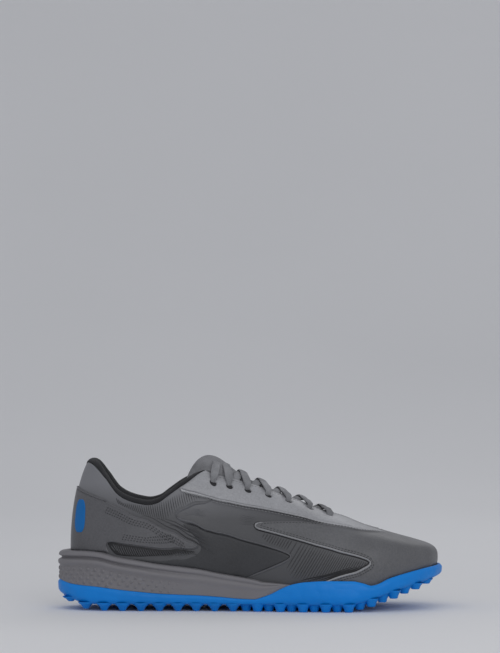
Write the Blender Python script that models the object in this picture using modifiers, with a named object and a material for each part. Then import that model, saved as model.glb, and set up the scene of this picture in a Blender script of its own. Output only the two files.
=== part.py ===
"""Right turf shoe: studded outsole, midsole, insole, hollow upper, overlays, tongue, collar lining and laces.

Metres, +Z up. X runs from heel to toe, and the outer (lateral) side of the foot is at -Y.
Heights are above the floor. The origin is the bottom centre of the whole shoe.
"""

import math

import bmesh
import bpy
import numpy as np
from mathutils import Vector, geometry

# Driving sizes of the shoe
LENGTH = 0.290
BALL_WIDTH = 0.102
COLLAR_HEIGHT = 0.110
SOLE_HEIGHT = 0.042
UPPER_WALL = 0.0018
OVERLAY_THICKNESS = 0.0010
CLEARANCE = 0.0003
OVERLAY_GAP = 0.0006

# Rocker of the sole: the curve that the stud tips touch
TOE_SPRING = 0.024
TOE_SPRING_RUN = 0.072
TOE_SPRING_POWER = 1.2
HEEL_BEVEL = 0.013
HEEL_BEVEL_RUN = 0.031
HEEL_BEVEL_POWER = 1.8

# Outsole
STUD_HEIGHT = 0.005
STUD_TOP_RADIUS = 0.0050
STUD_TIP_RADIUS = 0.0038
STUD_PITCH = 0.0137
STUD_SPACING = 0.0220
STUD_EDGE_INSET = 0.0085
STUD_SINK = 0.0012
STUD_SIDES = 5
PLATE_THICKNESS = 0.0026
PLATE_EDGE_INSET = 0.0050
PLATE_ROUND_INSET = 0.0014
PLATE_ROUND_HEIGHT = 0.0026
CUP_WALL = 0.0019
CUP_RIM_INSET = 0.0012

# Midsole, insole and tongue
MIDSOLE_RIDGE = 0.0030
LIP_INSET = 0.0030
INSOLE_THICKNESS = 0.0032
TONGUE_THICKNESS = 0.0042
TONGUE_HALF_WIDTH = 0.023

# Collar lining: a padded roll over the rim of the upper
LINING_ROLL = 0.0036
LINING_PAD = 0.0052
LINING_DEPTH = 0.027
LINING_STATIONS = 7

# Throat, eyelets and lace
THROAT_TOP_GAP = 0.0150
THROAT_FRONT_GAP = 0.0095
EYELET_RADIUS = 0.0024
EYELET_SIDES = 6
EYELET_EDGE_DISTANCE = 0.0090
LACE_WIDTH = 0.0056
LACE_THICKNESS = 0.0012
LACE_END_DISTANCE = 0.0052

# Where the fans of heel and toe profiles turn, as shares of LENGTH
HEEL_AXIS = 0.125
TOE_AXIS = 0.862

# Stations round the shoe, and rows up the upper
HEEL_FAN_STEPS = 7
MIDDLE_STEPS = 21
TOE_FAN_STEPS = 8
UPPER_ROWS = 9
SHORTEST_STEP = 0.0015
PROFILE_SAMPLES = 29
TUCK_SAMPLES = 7

# Plan outline of the sole. along: share of LENGTH; lateral and medial: shares of BALL_WIDTH
PLAN_COLUMNS = ("along", "lateral", "medial")
PLAN = (
    (0.012, 0.120, 0.120),
    (0.045, 0.225, 0.225),
    (0.100, 0.305, 0.305),
    (0.180, 0.345, 0.350),
    (0.280, 0.352, 0.345),
    (0.380, 0.365, 0.318),
    (0.480, 0.398, 0.318),
    (0.580, 0.452, 0.362),
    (0.660, 0.492, 0.418),
    (0.730, 0.505, 0.462),
    (0.800, 0.480, 0.480),
    (0.860, 0.418, 0.470),
    (0.910, 0.328, 0.435),
    (0.950, 0.222, 0.375),
    (0.982, 0.090, 0.285),
)
TOE_TIP = 0.100

# Sections of the upper. along: share of LENGTH; spine: middle line, share of BALL_WIDTH;
# inset: from the sole's outline, share of BALL_WIDTH; feather, widest and crown: heights of the lower edge,
# of the widest line and of the closed top, shares of COLLAR_HEIGHT; side and top: fullness of the arch
SECTION_COLUMNS = ("along", "spine", "inset", "feather", "widest", "crown", "side", "top")
SECTIONS = (
    (0.000, 0.000, 0.104, 0.226, 0.420, 1.110, 0.00, 0.00),
    (0.040, 0.000, 0.090, 0.226, 0.420, 1.180, 0.00, 0.00),
    (0.125, 0.000, 0.062, 0.224, 0.410, 1.450, 0.00, 0.00),
    (0.220, 0.000, 0.050, 0.218, 0.392, 1.500, 0.00, 0.00),
    (0.300, 0.000, 0.043, 0.206, 0.376, 1.330, 0.00, 0.00),
    (0.345, 0.002, 0.042, 0.198, 0.366, 1.150, 0.02, 0.00),
    (0.386, 0.004, 0.041, 0.192, 0.358, 0.998, 0.04, 0.00),
    (0.460, 0.008, 0.039, 0.178, 0.340, 0.913, 0.06, 0.02),
    (0.530, 0.012, 0.038, 0.166, 0.322, 0.837, 0.08, 0.04),
    (0.580, 0.015, 0.037, 0.158, 0.308, 0.781, 0.10, 0.06),
    (0.630, 0.019, 0.036, 0.150, 0.294, 0.729, 0.12, 0.08),
    (0.680, 0.024, 0.036, 0.141, 0.284, 0.668, 0.14, 0.10),
    (0.745, 0.032, 0.036, 0.135, 0.282, 0.613, 0.18, 0.14),
    (0.790, 0.040, 0.036, 0.152, 0.288, 0.561, 0.22, 0.18),
    (0.840, 0.052, 0.036, 0.182, 0.300, 0.521, 0.28, 0.24),
    (0.890, 0.062, 0.036, 0.215, 0.318, 0.482, 0.36, 0.30),
    (0.935, 0.070, 0.038, 0.240, 0.334, 0.453, 0.42, 0.34),
    (0.966, 0.074, 0.040, 0.252, 0.338, 0.436, 0.45, 0.36),
    (1.000, 0.076, 0.041, 0.260, 0.338, 0.408, 0.45, 0.36),
)

# Rim of the collar. along: share of LENGTH; rim: height, share of COLLAR_HEIGHT
RIM_COLUMNS = ("along", "rim")
RIM = (
    (0.060, 1.000),
    (0.079, 0.998),
    (0.092, 0.985),
    (0.105, 0.957),
    (0.118, 0.918),
    (0.131, 0.878),
    (0.144, 0.830),
    (0.158, 0.786),
    (0.184, 0.746),
    (0.210, 0.725),
    (0.238, 0.714),
    (0.262, 0.728),
    (0.289, 0.777),
    (0.315, 0.826),
    (0.341, 0.871),
    (0.367, 0.923),
    (0.392, 0.960),
    (0.420, 1.100),
)
THROAT_TOP = 0.385
THROAT_END = 0.712

# Edges of the sole. cup: top of the outsole's wall; lip: top of the midsole's wall; shares of SOLE_HEIGHT
EDGE_COLUMNS = ("along", "cup", "lip")
EDGES = (
    (0.000, 0.530, 1.035),
    (0.037, 0.470, 1.045),
    (0.068, 0.450, 1.048),
    (0.103, 0.434, 1.035),
    (0.158, 0.388, 0.950),
    (0.210, 0.352, 0.892),
    (0.262, 0.318, 0.832),
    (0.315, 0.299, 0.786),
    (0.367, 0.286, 0.742),
    (0.420, 0.262, 0.670),
    (0.472, 0.232, 0.610),
    (0.508, 0.224, 0.565),
    (0.530, 0.268, 0.525),
    (0.556, 0.338, 0.508),
    (0.580, 0.425, 0.492),
    (0.604, 0.490, 0.474),
    (0.640, 0.536, 0.450),
    (0.700, 0.556, 0.440),
    (0.760, 0.552, 0.440),
    (0.790, 0.510, 0.445),
    (0.809, 0.470, 0.460),
    (0.826, 0.492, 0.490),
    (0.855, 0.582, 0.540),
    (0.890, 0.648, 0.585),
    (0.930, 0.706, 0.630),
    (0.970, 0.750, 0.670),
    (1.000, 0.768, 0.690),
)

# Middle line of the tongue. along: share of LENGTH; height: share of COLLAR_HEIGHT; taper: share of its width
TONGUE_COLUMNS = ("along", "height", "taper")
TONGUE = (
    (0.338, 0.930, 0.44),
    (0.348, 0.991, 0.55),
    (0.366, 1.019, 0.68),
    (0.386, 1.013, 0.78),
    (0.420, 0.965, 0.92),
    (0.460, 0.901, 0.98),
    (0.530, 0.825, 0.92),
    (0.630, 0.717, 0.80),
    (0.700, 0.644, 0.66),
)

# Outlines of the overlays on one side. along: share of LENGTH; height: share of COLLAR_HEIGHT
PANEL_COLUMNS = ("along", "height")
EYESTAY_LOWER = (
    (0.317, 0.853),
    (0.367, 0.812),
    (0.419, 0.772),
    (0.471, 0.732),
    (0.525, 0.692),
    (0.578, 0.648),
    (0.630, 0.606),
    (0.682, 0.572),
    (0.735, 0.551),
    (0.788, 0.527),
    (0.842, 0.500),
)
VAMP_WEDGE_LOWER = (
    (0.512, 0.582),
    (0.552, 0.537),
    (0.604, 0.498),
    (0.656, 0.461),
    (0.709, 0.420),
    (0.761, 0.381),
    (0.793, 0.360),
    (0.806, 0.339),
)
COUNTER_UPPER = (
    (0.125, 0.760),
    (0.158, 0.724),
    (0.210, 0.663),
    (0.262, 0.595),
    (0.315, 0.522),
    (0.354, 0.475),
    (0.365, 0.444),
)
COUNTER_LOWER = (
    (0.354, 0.418),
    (0.315, 0.424),
    (0.262, 0.439),
    (0.210, 0.458),
    (0.158, 0.476),
    (0.134, 0.482),
)
COUNTER_BACK_HEIGHT = 0.826
COUNTER_TIP = 0.365
COUNTER_REST = 0.122
EYESTAY_BACK = 0.317
EYESTAY_STATIONS = 20
EYESTAY_TIP_GAP = 0.0055
VAMP_BACK = 0.520
WINDOW_FRONT = 0.800
VAMP_STRIP_HALF_WIDTH = 0.0100

# Eyelets of one side. along: share of LENGTH
EYELETS = (0.403, 0.445, 0.492, 0.545, 0.597, 0.652, 0.703)

# Colours
DARK_GREY = (0.075, 0.075, 0.080, 1.0)
GREY = (0.130, 0.130, 0.138, 1.0)
SOLE_GREY = (0.200, 0.195, 0.205, 1.0)
BLUE = (0.000, 0.170, 0.620, 1.0)
LINING_BLACK = (0.030, 0.030, 0.033, 1.0)
LACE_GREY = (0.300, 0.300, 0.310, 1.0)


def column(rows, names, name):
    """One named column of a table as an array."""
    return np.array([row[names.index(name)] for row in rows], float)


def smooth(knots, values, at):
    """A cubic through the knots without overshoot, held at its ends."""
    at = np.asarray(at, float)
    chord = np.diff(values) / np.diff(knots)
    slope = np.zeros(len(values))
    slope[0], slope[-1] = chord[0], chord[-1]
    before, after = chord[:-1], chord[1:]
    same_way = before * after > 0
    total = np.where(same_way, before + after, 1.0)
    slope[1:-1] = np.where(same_way, 2 * before * after / total, 0.0)
    i = np.clip(np.searchsorted(knots, at) - 1, 0, len(knots) - 2)
    step = knots[i + 1] - knots[i]
    t = np.clip((at - knots[i]) / step, 0.0, 1.0)
    start = values[i] * (1 + 2 * t) * (1 - t) ** 2 + slope[i] * step * t * (1 - t) ** 2
    end = values[i + 1] * t**2 * (3 - 2 * t) + slope[i + 1] * step * t**2 * (t - 1)
    return start + end


def section(name, along):
    return smooth(column(SECTIONS, SECTION_COLUMNS, "along"), column(SECTIONS, SECTION_COLUMNS, name), along)


def edge(name, along):
    return SOLE_HEIGHT * smooth(column(EDGES, EDGE_COLUMNS, "along"), column(EDGES, EDGE_COLUMNS, name), along)


def rim_height(along):
    return COLLAR_HEIGHT * smooth(column(RIM, RIM_COLUMNS, "along"), column(RIM, RIM_COLUMNS, "rim"), along)


def rocker(x):
    """Height of the curve that the stud tips touch."""
    heel = HEEL_BEVEL * np.clip(1 - x / HEEL_BEVEL_RUN, 0, None) ** HEEL_BEVEL_POWER
    toe_start = LENGTH - TOE_SPRING_RUN
    toe = TOE_SPRING * np.clip((x - toe_start) / TOE_SPRING_RUN, 0, None) ** TOE_SPRING_POWER
    return heel + toe


def plate_bottom(x):
    """Underside of the outsole's plate: a stud's height above the rocker, less at both tips."""
    ends = np.clip(np.minimum(x / HEEL_BEVEL_RUN, (LENGTH - x) / (0.5 * TOE_SPRING_RUN)), 0, 1)
    return rocker(x) + STUD_HEIGHT * (0.25 + 0.75 * ends)


def plan_loop(steps=24):
    """The sole's outline as a dense closed loop that starts at the heel and runs along the lateral side first."""
    along = column(PLAN, PLAN_COLUMNS, "along") * LENGTH
    lateral = -column(PLAN, PLAN_COLUMNS, "lateral") * BALL_WIDTH
    medial = column(PLAN, PLAN_COLUMNS, "medial") * BALL_WIDTH
    points = [(0.0, 0.0), *zip(along, lateral), (LENGTH, TOE_TIP * BALL_WIDTH)]
    points = np.array(points + list(zip(along, medial))[::-1])
    loop = []
    for i in range(len(points)):
        a, b, c, d = (points[(i + k) % len(points)] for k in (-1, 0, 1, 2))
        for t in np.arange(steps) / steps:
            loop.append(0.5 * (2 * b + (c - a) * t + (2 * a - 5 * b + 4 * c - d) * t**2 + (3 * b - a - 3 * c + d) * t**3))
    return np.array(loop)


LOOP = plan_loop()
HEEL_CENTRE = np.array([HEEL_AXIS * LENGTH, 0.0])
TOE_CENTRE = np.array([TOE_AXIS * LENGTH, float(section("spine", TOE_AXIS)) * BALL_WIDTH])


def loop_normals():
    """Unit normals of the outline that point into the shoe."""
    tangent = np.roll(LOOP, -1, axis=0) - np.roll(LOOP, 1, axis=0)
    normal = np.stack([-tangent[:, 1], tangent[:, 0]], axis=1)
    normal /= np.linalg.norm(normal, axis=1, keepdims=True)
    return normal


NORMALS = loop_normals()


def by_key(keys, picked, at):
    """Outline points and normals where a key that rises along the picked points has the value at."""
    order = np.argsort(keys)
    found = [np.interp(at, keys[order], values[order]) for values in (*LOOP[picked].T, *NORMALS[picked].T)]
    return np.stack(found[:2], axis=-1), np.stack(found[2:], axis=-1)


def feet(x, y):
    """For points in the flat pattern, the outline point, its inward normal and the point that the profile starts from.

    The pattern lays each profile of the upper out flat in its own direction, so between the two axes
    it has the shoe's x, and beyond them it is a fan.
    """
    x, y = np.broadcast_arrays(np.asarray(x, float), np.asarray(y, float))
    heel, toe = x < HEEL_CENTRE[0], x > TOE_CENTRE[0]
    spine = section("spine", x / LENGTH) * BALL_WIDTH
    base = np.stack([x, spine], axis=-1)
    base[heel], base[toe] = HEEL_CENTRE, TOE_CENTRE
    index = np.arange(len(LOOP))
    tip = len(PLAN) * (len(LOOP) // (2 * len(PLAN) + 2)) + len(LOOP) // (2 * len(PLAN) + 2)
    out, normal = np.zeros_like(base), np.zeros_like(base)
    for side, picked in ((-1, index <= tip), (1, (index >= tip) | (index == 0))):
        chosen = ~heel & ~toe & ((y < spine) if side < 0 else (y >= spine))
        out[chosen], normal[chosen] = by_key(LOOP[picked][:, 0], picked, x[chosen])
    back = LOOP[:, 0] <= HEEL_CENTRE[0] + 0.02
    keys = np.arctan2(LOOP[back][:, 1] - HEEL_CENTRE[1], HEEL_CENTRE[0] - LOOP[back][:, 0])
    out[heel], normal[heel] = by_key(keys, back, np.arctan2(y[heel] - HEEL_CENTRE[1], HEEL_CENTRE[0] - x[heel]))
    front = LOOP[:, 0] >= TOE_CENTRE[0] - 0.02
    keys = np.arctan2(LOOP[front][:, 1] - TOE_CENTRE[1], LOOP[front][:, 0] - TOE_CENTRE[0])
    out[toe], normal[toe] = by_key(keys, front, np.arctan2(y[toe] - TOE_CENTRE[1], x[toe] - TOE_CENTRE[0]))
    return out, normal / np.linalg.norm(normal, axis=-1, keepdims=True), base


def profiles(out, normal, base, crown=None):
    """Profiles of the upper's outer face, from the feather edge up to the crown, and their lengths from the crown."""
    share = out[..., 0] / LENGTH
    widest = section("widest", share) * COLLAR_HEIGHT
    feather = section("feather", share) * COLLAR_HEIGHT
    side, top = section("side", share), section("top", share)
    reach = out + normal * (section("inset", share) * BALL_WIDTH)[..., None] - base
    angle = np.linspace(0, math.pi / 2, PROFILE_SAMPLES)
    cos, sin = np.cos(angle), np.sin(angle)
    spread = cos * (1 + side[..., None] * sin**2)
    lift = sin * (1 + top[..., None] * cos**2)
    flat = base[..., None, :] + spread[..., None] * reach[..., None, :]
    heel = (base[..., 0] <= HEEL_CENTRE[0])[..., None]
    here = np.where(heel, share[..., None], flat[..., 0] / LENGTH)
    height = COLLAR_HEIGHT * section("crown", here) if crown is None else crown(here)
    z = widest[..., None] + (height - widest[..., None]) * lift
    arch = np.concatenate([flat, z[..., None]], axis=-1)
    down = np.linspace(1, 0, TUCK_SAMPLES, endpoint=False)
    tuck = 0.05 * down**2
    flat = base[..., None, :] + (1 - tuck)[:, None] * reach[..., None, :]
    z = widest[..., None] - (widest - feather)[..., None] * down
    tucked = np.concatenate([flat, z[..., None]], axis=-1)
    line = np.concatenate([tucked, arch], axis=-2)
    steps = np.linalg.norm(np.diff(line, axis=-2), axis=-1)
    length = np.concatenate([np.cumsum(steps[..., ::-1], axis=-1)[..., ::-1], np.zeros(steps.shape[:-1] + (1,))], axis=-1)
    return line, length


def along_profile(line, length, at):
    """Points of each profile at a length from its crown."""
    flat_line, flat_length = line.reshape(-1, *line.shape[-2:]), length.reshape(-1, length.shape[-1])
    flat_at = np.broadcast_to(at, line.shape[:-2]).reshape(-1)
    found = np.empty((len(flat_line), 3))
    for k in range(len(flat_line)):
        for axis in range(3):
            found[k, axis] = np.interp(flat_at[k], flat_length[k][::-1], flat_line[k][::-1, axis])
    return found.reshape(*line.shape[:-2], 3)


def surface(x, y):
    """Points of the upper's outer face for points of the flat pattern."""
    out, normal, base = feet(x, y)
    line, length = profiles(out, normal, base)
    at = np.hypot(np.asarray(x) - base[..., 0], np.asarray(y) - base[..., 1])
    return along_profile(line, length, at)


def outward(x, y, step=0.0004):
    """Unit normals of the upper's outer face."""
    x, y = np.asarray(x, float), np.asarray(y, float)
    across = surface(x + step, y) - surface(x - step, y)
    up = surface(x, y + step) - surface(x, y - step)
    normal = np.cross(across, up)
    return normal / np.linalg.norm(normal, axis=-1, keepdims=True)


def ring():
    """Stations round the shoe: from the heel along the lateral side, round the toe and back."""
    turn = np.linspace(0, math.pi / 2, HEEL_FAN_STEPS, endpoint=False)
    middle = np.linspace(HEEL_CENTRE[0], TOE_CENTRE[0], MIDDLE_STEPS + 1)
    toe = np.linspace(-math.pi / 2, math.pi / 2, 2 * TOE_FAN_STEPS + 1)[1:-1]
    spine = section("spine", middle / LENGTH) * BALL_WIDTH
    small = 0.001
    heel_side = [(HEEL_CENTRE[0] - small * math.cos(a), -small * math.sin(a)) for a in turn]
    lateral = list(zip(middle, spine - small))
    front = [(TOE_CENTRE[0] + small * math.cos(a), TOE_CENTRE[1] + small * math.sin(a)) for a in toe]
    medial = list(zip(middle, spine + small))[::-1]
    heel_back = [(x, -y) for x, y in heel_side[:0:-1]]
    points = np.array(heel_side + lateral + front + medial + heel_back)
    return feet(points[:, 0], points[:, 1])


OUT, INWARD, BASE = ring()
COUNT = len(OUT)
SHARE = OUT[:, 0] / LENGTH
MIDDLE = (OUT.min(axis=0) + OUT.max(axis=0)) / 2
LINE, REACH = profiles(OUT, INWARD, BASE)


def throat_gap(along):
    """Half the width of the throat, which closes in a round end."""
    t = np.clip((along - THROAT_TOP) / (THROAT_END - THROAT_TOP), 0, 1)
    gap = THROAT_TOP_GAP + (THROAT_FRONT_GAP - THROAT_TOP_GAP) * t
    return gap * np.sqrt(np.clip(1 - np.clip((t - 0.9) / 0.1, 0, 1) ** 2, 0, 1))


def top_length(line, length, base):
    """Length from the crown at which each profile ends: at the collar's rim, the throat's edge or the crown."""
    found = np.zeros(len(line))
    for k, (points, lengths) in enumerate(zip(line, length)):
        along = points[:, 0] / LENGTH
        start = TUCK_SAMPLES
        over = points[:, 2] - rim_height(along)
        apart = throat_gap(along) - np.linalg.norm(points[:, :2] - base[k], axis=1)
        if base[k, 0] > THROAT_END * LENGTH:
            continue
        for j in range(start, len(points)):
            past = max(over[j], apart[j])
            if past >= 0:
                before = max(over[j - 1], apart[j - 1])
                t = -before / (past - before)
                found[k] = lengths[j - 1] + t * (lengths[j] - lengths[j - 1])
                break
    return found


TOP = top_length(LINE, REACH, BASE)


def at_height(k, height):
    """Point of profile k of the upper's outer face at a height, on its way up from the feather edge."""
    line = LINE[k]
    return np.array([np.interp(height, line[:, 2], line[:, axis]) for axis in range(3)])


def level(inset, height):
    """A ring of points at an inset from the sole's outline."""
    flat = OUT + INWARD * np.broadcast_to(inset, COUNT)[:, None]
    return np.column_stack([flat, np.broadcast_to(height, COUNT)])


def add_object(name, vertices, faces, material):
    """A mesh object in the shoe's frame, with its origin at the shoe's origin."""
    mesh = bpy.data.meshes.new(name)
    moved = np.asarray(vertices) - np.array([*MIDDLE, 0.0])
    mesh.from_pydata([tuple(v) for v in moved], [], [tuple(int(i) for i in f) for f in faces])
    tidy = bmesh.new()
    tidy.from_mesh(mesh)
    bmesh.ops.remove_doubles(tidy, verts=tidy.verts, dist=1e-6)
    bmesh.ops.dissolve_degenerate(tidy, edges=tidy.edges, dist=1e-7)
    bmesh.ops.recalc_face_normals(tidy, faces=tidy.faces)
    tidy.to_mesh(mesh)
    tidy.free()
    mesh.update()
    mesh.shade_smooth()
    mesh.set_sharp_from_angle(angle=math.radians(40))
    mesh.materials.append(material)
    made = bpy.data.objects.new(name, mesh)
    SHOE.objects.link(made)
    return made


def grid_faces(rows, columns, closed=True):
    """Quads between rows of points; a closed grid joins its last column to its first."""
    faces = []
    for j in range(rows - 1):
        for i in range(columns if closed else columns - 1):
            k = (i + 1) % columns
            faces.append((j * columns + i, j * columns + k, (j + 1) * columns + k, (j + 1) * columns + i))
    return faces


def ladder_faces(start, count, flip=False):
    """Closes a ring of points with rungs from its lateral to its medial side."""
    faces = []
    for i in range(count // 2):
        a, b = i, i + 1
        c, d = (count - b) % count, (count - a) % count
        corners = list(dict.fromkeys([a, b, c, d]))
        faces.append([start + k for k in (corners[::-1] if flip else corners)])
    return [f for f in faces if len(f) > 2]


def lofted(name, rings, material):
    """A closed solid through rings, closed at its first and last ring."""
    vertices = np.concatenate(rings)
    faces = grid_faces(len(rings), COUNT)
    faces += ladder_faces(0, COUNT, flip=True)
    faces += ladder_faces((len(rings) - 1) * COUNT, COUNT)
    return add_object(name, vertices, faces, material)


def make_material(name, colour, roughness):
    material = bpy.data.materials.new(name)
    material.use_nodes = True
    shader = material.node_tree.nodes["Principled BSDF"]
    shader.inputs["Base Color"].default_value = colour
    shader.inputs["Roughness"].default_value = roughness
    shader.inputs["Metallic"].default_value = 0.0
    return material


def solidify(made, thickness, offset):
    """Gives an open surface its wall: offset -1 is inwards, 1 outwards."""
    wall = made.modifiers.new("wall", "SOLIDIFY")
    wall.thickness = thickness
    wall.offset = offset
    wall.use_even_offset = True
    wall.use_rim = True
    return made


def stud_places():
    """Plan positions of the studs: staggered rows across the plate."""
    places = []
    first, last = 0.030 * LENGTH, 0.972 * LENGTH
    rows = int((last - first) / STUD_PITCH)
    for row in range(rows + 1):
        x = first + row * (last - first) / rows
        low = LOOP[(LOOP[:, 1] < TOE_TIP * BALL_WIDTH)]
        high = LOOP[(LOOP[:, 1] >= 0)]
        lateral = np.interp(x, *sorted_line(low[low[:, 0] > 0]))
        medial = np.interp(x, *sorted_line(high[high[:, 0] > 0], highest=True))
        lateral += STUD_EDGE_INSET
        medial -= STUD_EDGE_INSET
        if medial - lateral < STUD_SPACING * 0.4:
            continue
        gaps = max(1, round((medial - lateral) / STUD_SPACING) - row % 2)
        inset = 0.5 * STUD_SPACING if row % 2 else 0.0
        for k in range(gaps + 1):
            y = lateral + inset + (medial - lateral - 2 * inset) * k / gaps
            places.append((x, y))
    return places


def sorted_line(points, highest=False):
    """x and y of an edge of the outline, sorted by x, keeping one y for each step along the shoe."""
    bins = np.round(points[:, 0], 3)
    keys = np.unique(bins)
    pick = np.max if highest else np.min
    return keys, np.array([pick(points[bins == key, 1]) for key in keys])


def plate_floor(inset, highest):
    """The top of the outsole's plate as a ring at an inset."""
    ring_points = level(inset, 0.0)
    ring_points[:, 2] = np.minimum(plate_bottom(ring_points[:, 0]) + PLATE_THICKNESS, highest)
    return ring_points


def build_outsole(material):
    """The cupped rubber outsole with its studs."""
    cup = edge("cup", SHARE)
    bottom = plate_bottom(level(PLATE_EDGE_INSET, 0.0)[:, 0])
    rings = [
        level(PLATE_EDGE_INSET, bottom),
        level(PLATE_ROUND_INSET, bottom + np.minimum(PLATE_ROUND_HEIGHT, 0.45 * (cup - bottom))),
        level(0.0, bottom + 0.62 * (cup - bottom)),
        level(CUP_RIM_INSET, cup),
        level(CUP_RIM_INSET + CUP_WALL, cup),
        plate_floor(CUP_RIM_INSET + CUP_WALL + 0.0003, cup - 0.0006),
    ]
    outsole = lofted("outsole", rings, material)
    studs = bmesh.new()
    for x, y in stud_places():
        tip = float(rocker(x))
        root = float(plate_bottom(x)) + STUD_SINK
        made = bmesh.ops.create_cone(
            studs,
            cap_ends=True,
            segments=STUD_SIDES,
            radius1=STUD_TIP_RADIUS,
            radius2=STUD_TOP_RADIUS,
            depth=root - tip,
        )
        place = Vector((x - MIDDLE[0], y - MIDDLE[1], (root + tip) / 2))
        bmesh.ops.translate(studs, verts=made["verts"], vec=place)
    mesh = bpy.data.meshes.new("studs")
    studs.to_mesh(mesh)
    studs.free()
    cutter = bpy.data.objects.new("studs", mesh)
    CUTTERS.objects.link(cutter)
    cutter.hide_render = True
    cutter.display_type = "WIRE"
    join = outsole.modifiers.new("studs", "BOOLEAN")
    join.operation = "UNION"
    join.object = cutter
    join.use_self = True
    return outsole


def footbed(share):
    return section("feather", share) * COLLAR_HEIGHT


def build_midsole(material):
    """The foam midsole: it fills the outsole's cup and its wall holds the heel and waist of the upper."""
    cup, lip, bed = edge("cup", SHARE), edge("lip", SHARE), footbed(SHARE)
    shown = np.clip(lip - cup, 0, None)
    out = np.clip((shown - 0.0030) / 0.006, 0, 1)
    wall_inset = CUP_RIM_INSET + CUP_WALL + CLEARANCE

    def inset(height, exposed):
        above = np.clip((height - cup - 0.0002) / 0.0022, 0, 1) * out
        return wall_inset + (exposed - wall_inset) * above

    heights = [
        np.minimum(cup - 0.0003, lip - 0.0014),
        np.minimum(cup + 0.0006, lip - 0.0012),
        np.minimum(cup + 0.0030, lip - 0.0010),
        lip - np.clip(0.30 * shown, 0.0006, 0.0070),
        lip - np.clip(0.22 * shown, 0.0004, 0.0045),
        lip - np.clip(0.06 * shown, 0.0002, 0.0010),
    ]
    exposures = [wall_inset, 0.0009, 0.0002, 0.0004 + 0.25 * MIDSOLE_RIDGE, MIDSOLE_RIDGE, LIP_INSET]
    heights = list(np.maximum.accumulate(np.array(heights) + 0.00005 * np.arange(len(heights))[:, None], axis=0))
    rings = [plate_floor(wall_inset + 0.0005, cup - 0.0006) + np.array([0.0, 0.0, 2 * CLEARANCE])]
    rings += [level(inset(h, e), h) for h, e in zip(heights, exposures)]
    top, bed_ring = [], []
    for k in range(COUNT):
        here = at_height(k, heights[-1][k])
        top.append([*(here[:2] - INWARD[k] * CLEARANCE), heights[-1][k] + 0.0002])
        low = at_height(k, bed[k])
        bed_ring.append([*(low[:2] - INWARD[k] * CLEARANCE), bed[k] - CLEARANCE])
    rings += [np.array(top), np.array(bed_ring)]
    return lofted("midsole", rings, material)


def build_insole(material):
    """The insole, which lies on the midsole inside the upper."""
    wall = UPPER_WALL + 2 * CLEARANCE
    bed = footbed(SHARE)
    low, high = [], []
    for k in range(COUNT):
        for ring_points, height in ((low, bed[k]), (high, bed[k] + INSOLE_THICKNESS)):
            here = at_height(k, bed[k])
            ring_points.append([*(here[:2] + INWARD[k] * wall), height])
    return lofted("insole", [np.array(low), np.array(high)], material)


def build_upper(material):
    """The hollow upper: one wall from the feather edge to the collar's rim, the throat's edge and over the toe."""
    rows = [along_profile(LINE, REACH, at) for at in row_lengths(REACH, TOP)]
    made = add_object("upper", np.concatenate(rows), grid_faces(len(rows), COUNT), material)
    return solidify(made, UPPER_WALL, -1)


def fan_columns(shares, side):
    """Profiles of one side at shares of LENGTH between the two axes."""
    x = np.asarray(shares, float) * LENGTH
    y = section("spine", np.asarray(shares)) * BALL_WIDTH + side * 0.001
    return feet(x, y)


def station(number):
    """Share of LENGTH of one of the upper's stations between the two axes."""
    return HEEL_AXIS + number * (TOE_AXIS - HEEL_AXIS) / MIDDLE_STEPS


def between(first, last):
    """The upper's own stations between two shares of LENGTH, with the two ends."""
    middle = np.linspace(HEEL_AXIS, TOE_AXIS, MIDDLE_STEPS + 1)
    inside = middle[(middle > first + 0.004) & (middle < last - 0.004)]
    return np.array([first, *inside, last])


def length_at(line, length, height):
    """Length from the crown at which each profile has a height."""
    return np.array([np.interp(h, p[:, 2], -q) * -1 for p, q, h in zip(line, length, height)])


def row_lengths(length, top):
    """Lengths from the crown of the upper's rows: even up to the throat's line, then one row to the closed top."""
    line = np.where(top > 0, top, THROAT_FRONT_GAP)
    rows = [length[:, 0] + (line - length[:, 0]) * j / UPPER_ROWS for j in range(UPPER_ROWS + 1)]
    return rows + [top]


def clipped_rows(columns, low, high, pins):
    """The upper's rows on some profiles between two lengths; a pin moves the row next to it to a given length."""
    line, length = profiles(*columns)
    rows = np.array(row_lengths(length, top_length(line, length, columns[2])))
    for k, pin in pins.items():
        if high[k] > 0:
            rows[np.nonzero(rows[:, k] > pin - SHORTEST_STEP)[0][-1], k] = pin
        else:
            rows[np.nonzero(rows[:, k] < pin + SHORTEST_STEP)[0][0], k] = pin
    kept = np.where(low - rows < SHORTEST_STEP, low, np.where(rows - high < SHORTEST_STEP, high, rows))
    return [along_profile(line, length, row) for row in kept]


def shell(name, patches, material):
    """An overlay: patches of the upper's rows between two lengths, moved out by a gap, with their wall."""
    grid, faces, start = [], [], 0
    for columns, low, high, pins in patches:
        rows = clipped_rows(columns, low, high, pins)
        count = len(rows[0])
        faces += [tuple(start + k for k in f) for f in grid_faces(len(rows), count, closed=False)]
        start += len(rows) * count
        grid += rows
    made = add_object(name, np.concatenate(grid), faces, material)
    bm = bmesh.new()
    bm.from_mesh(made.data)
    centre = np.array([0.0, 0.0, 0.03])
    facing = sum(f.normal.dot(Vector(np.array(f.calc_center_median()) * (0, 1, 1) - centre)) for f in bm.faces)
    if facing < 0:
        bmesh.ops.reverse_faces(bm, faces=bm.faces)
    bm.normal_update()
    moved = [v.co + v.normal * OVERLAY_GAP for v in bm.verts]
    for v, place in zip(bm.verts, moved):
        v.co = place
    bm.to_mesh(made.data)
    bm.free()
    return solidify(made, OVERLAY_THICKNESS, 1)


def table_height(table, shares):
    rows = sorted(table)
    along, height = column(rows, PANEL_COLUMNS, "along"), column(rows, PANEL_COLUMNS, "height")
    return COLLAR_HEIGHT * smooth(along, height, shares)


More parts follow.
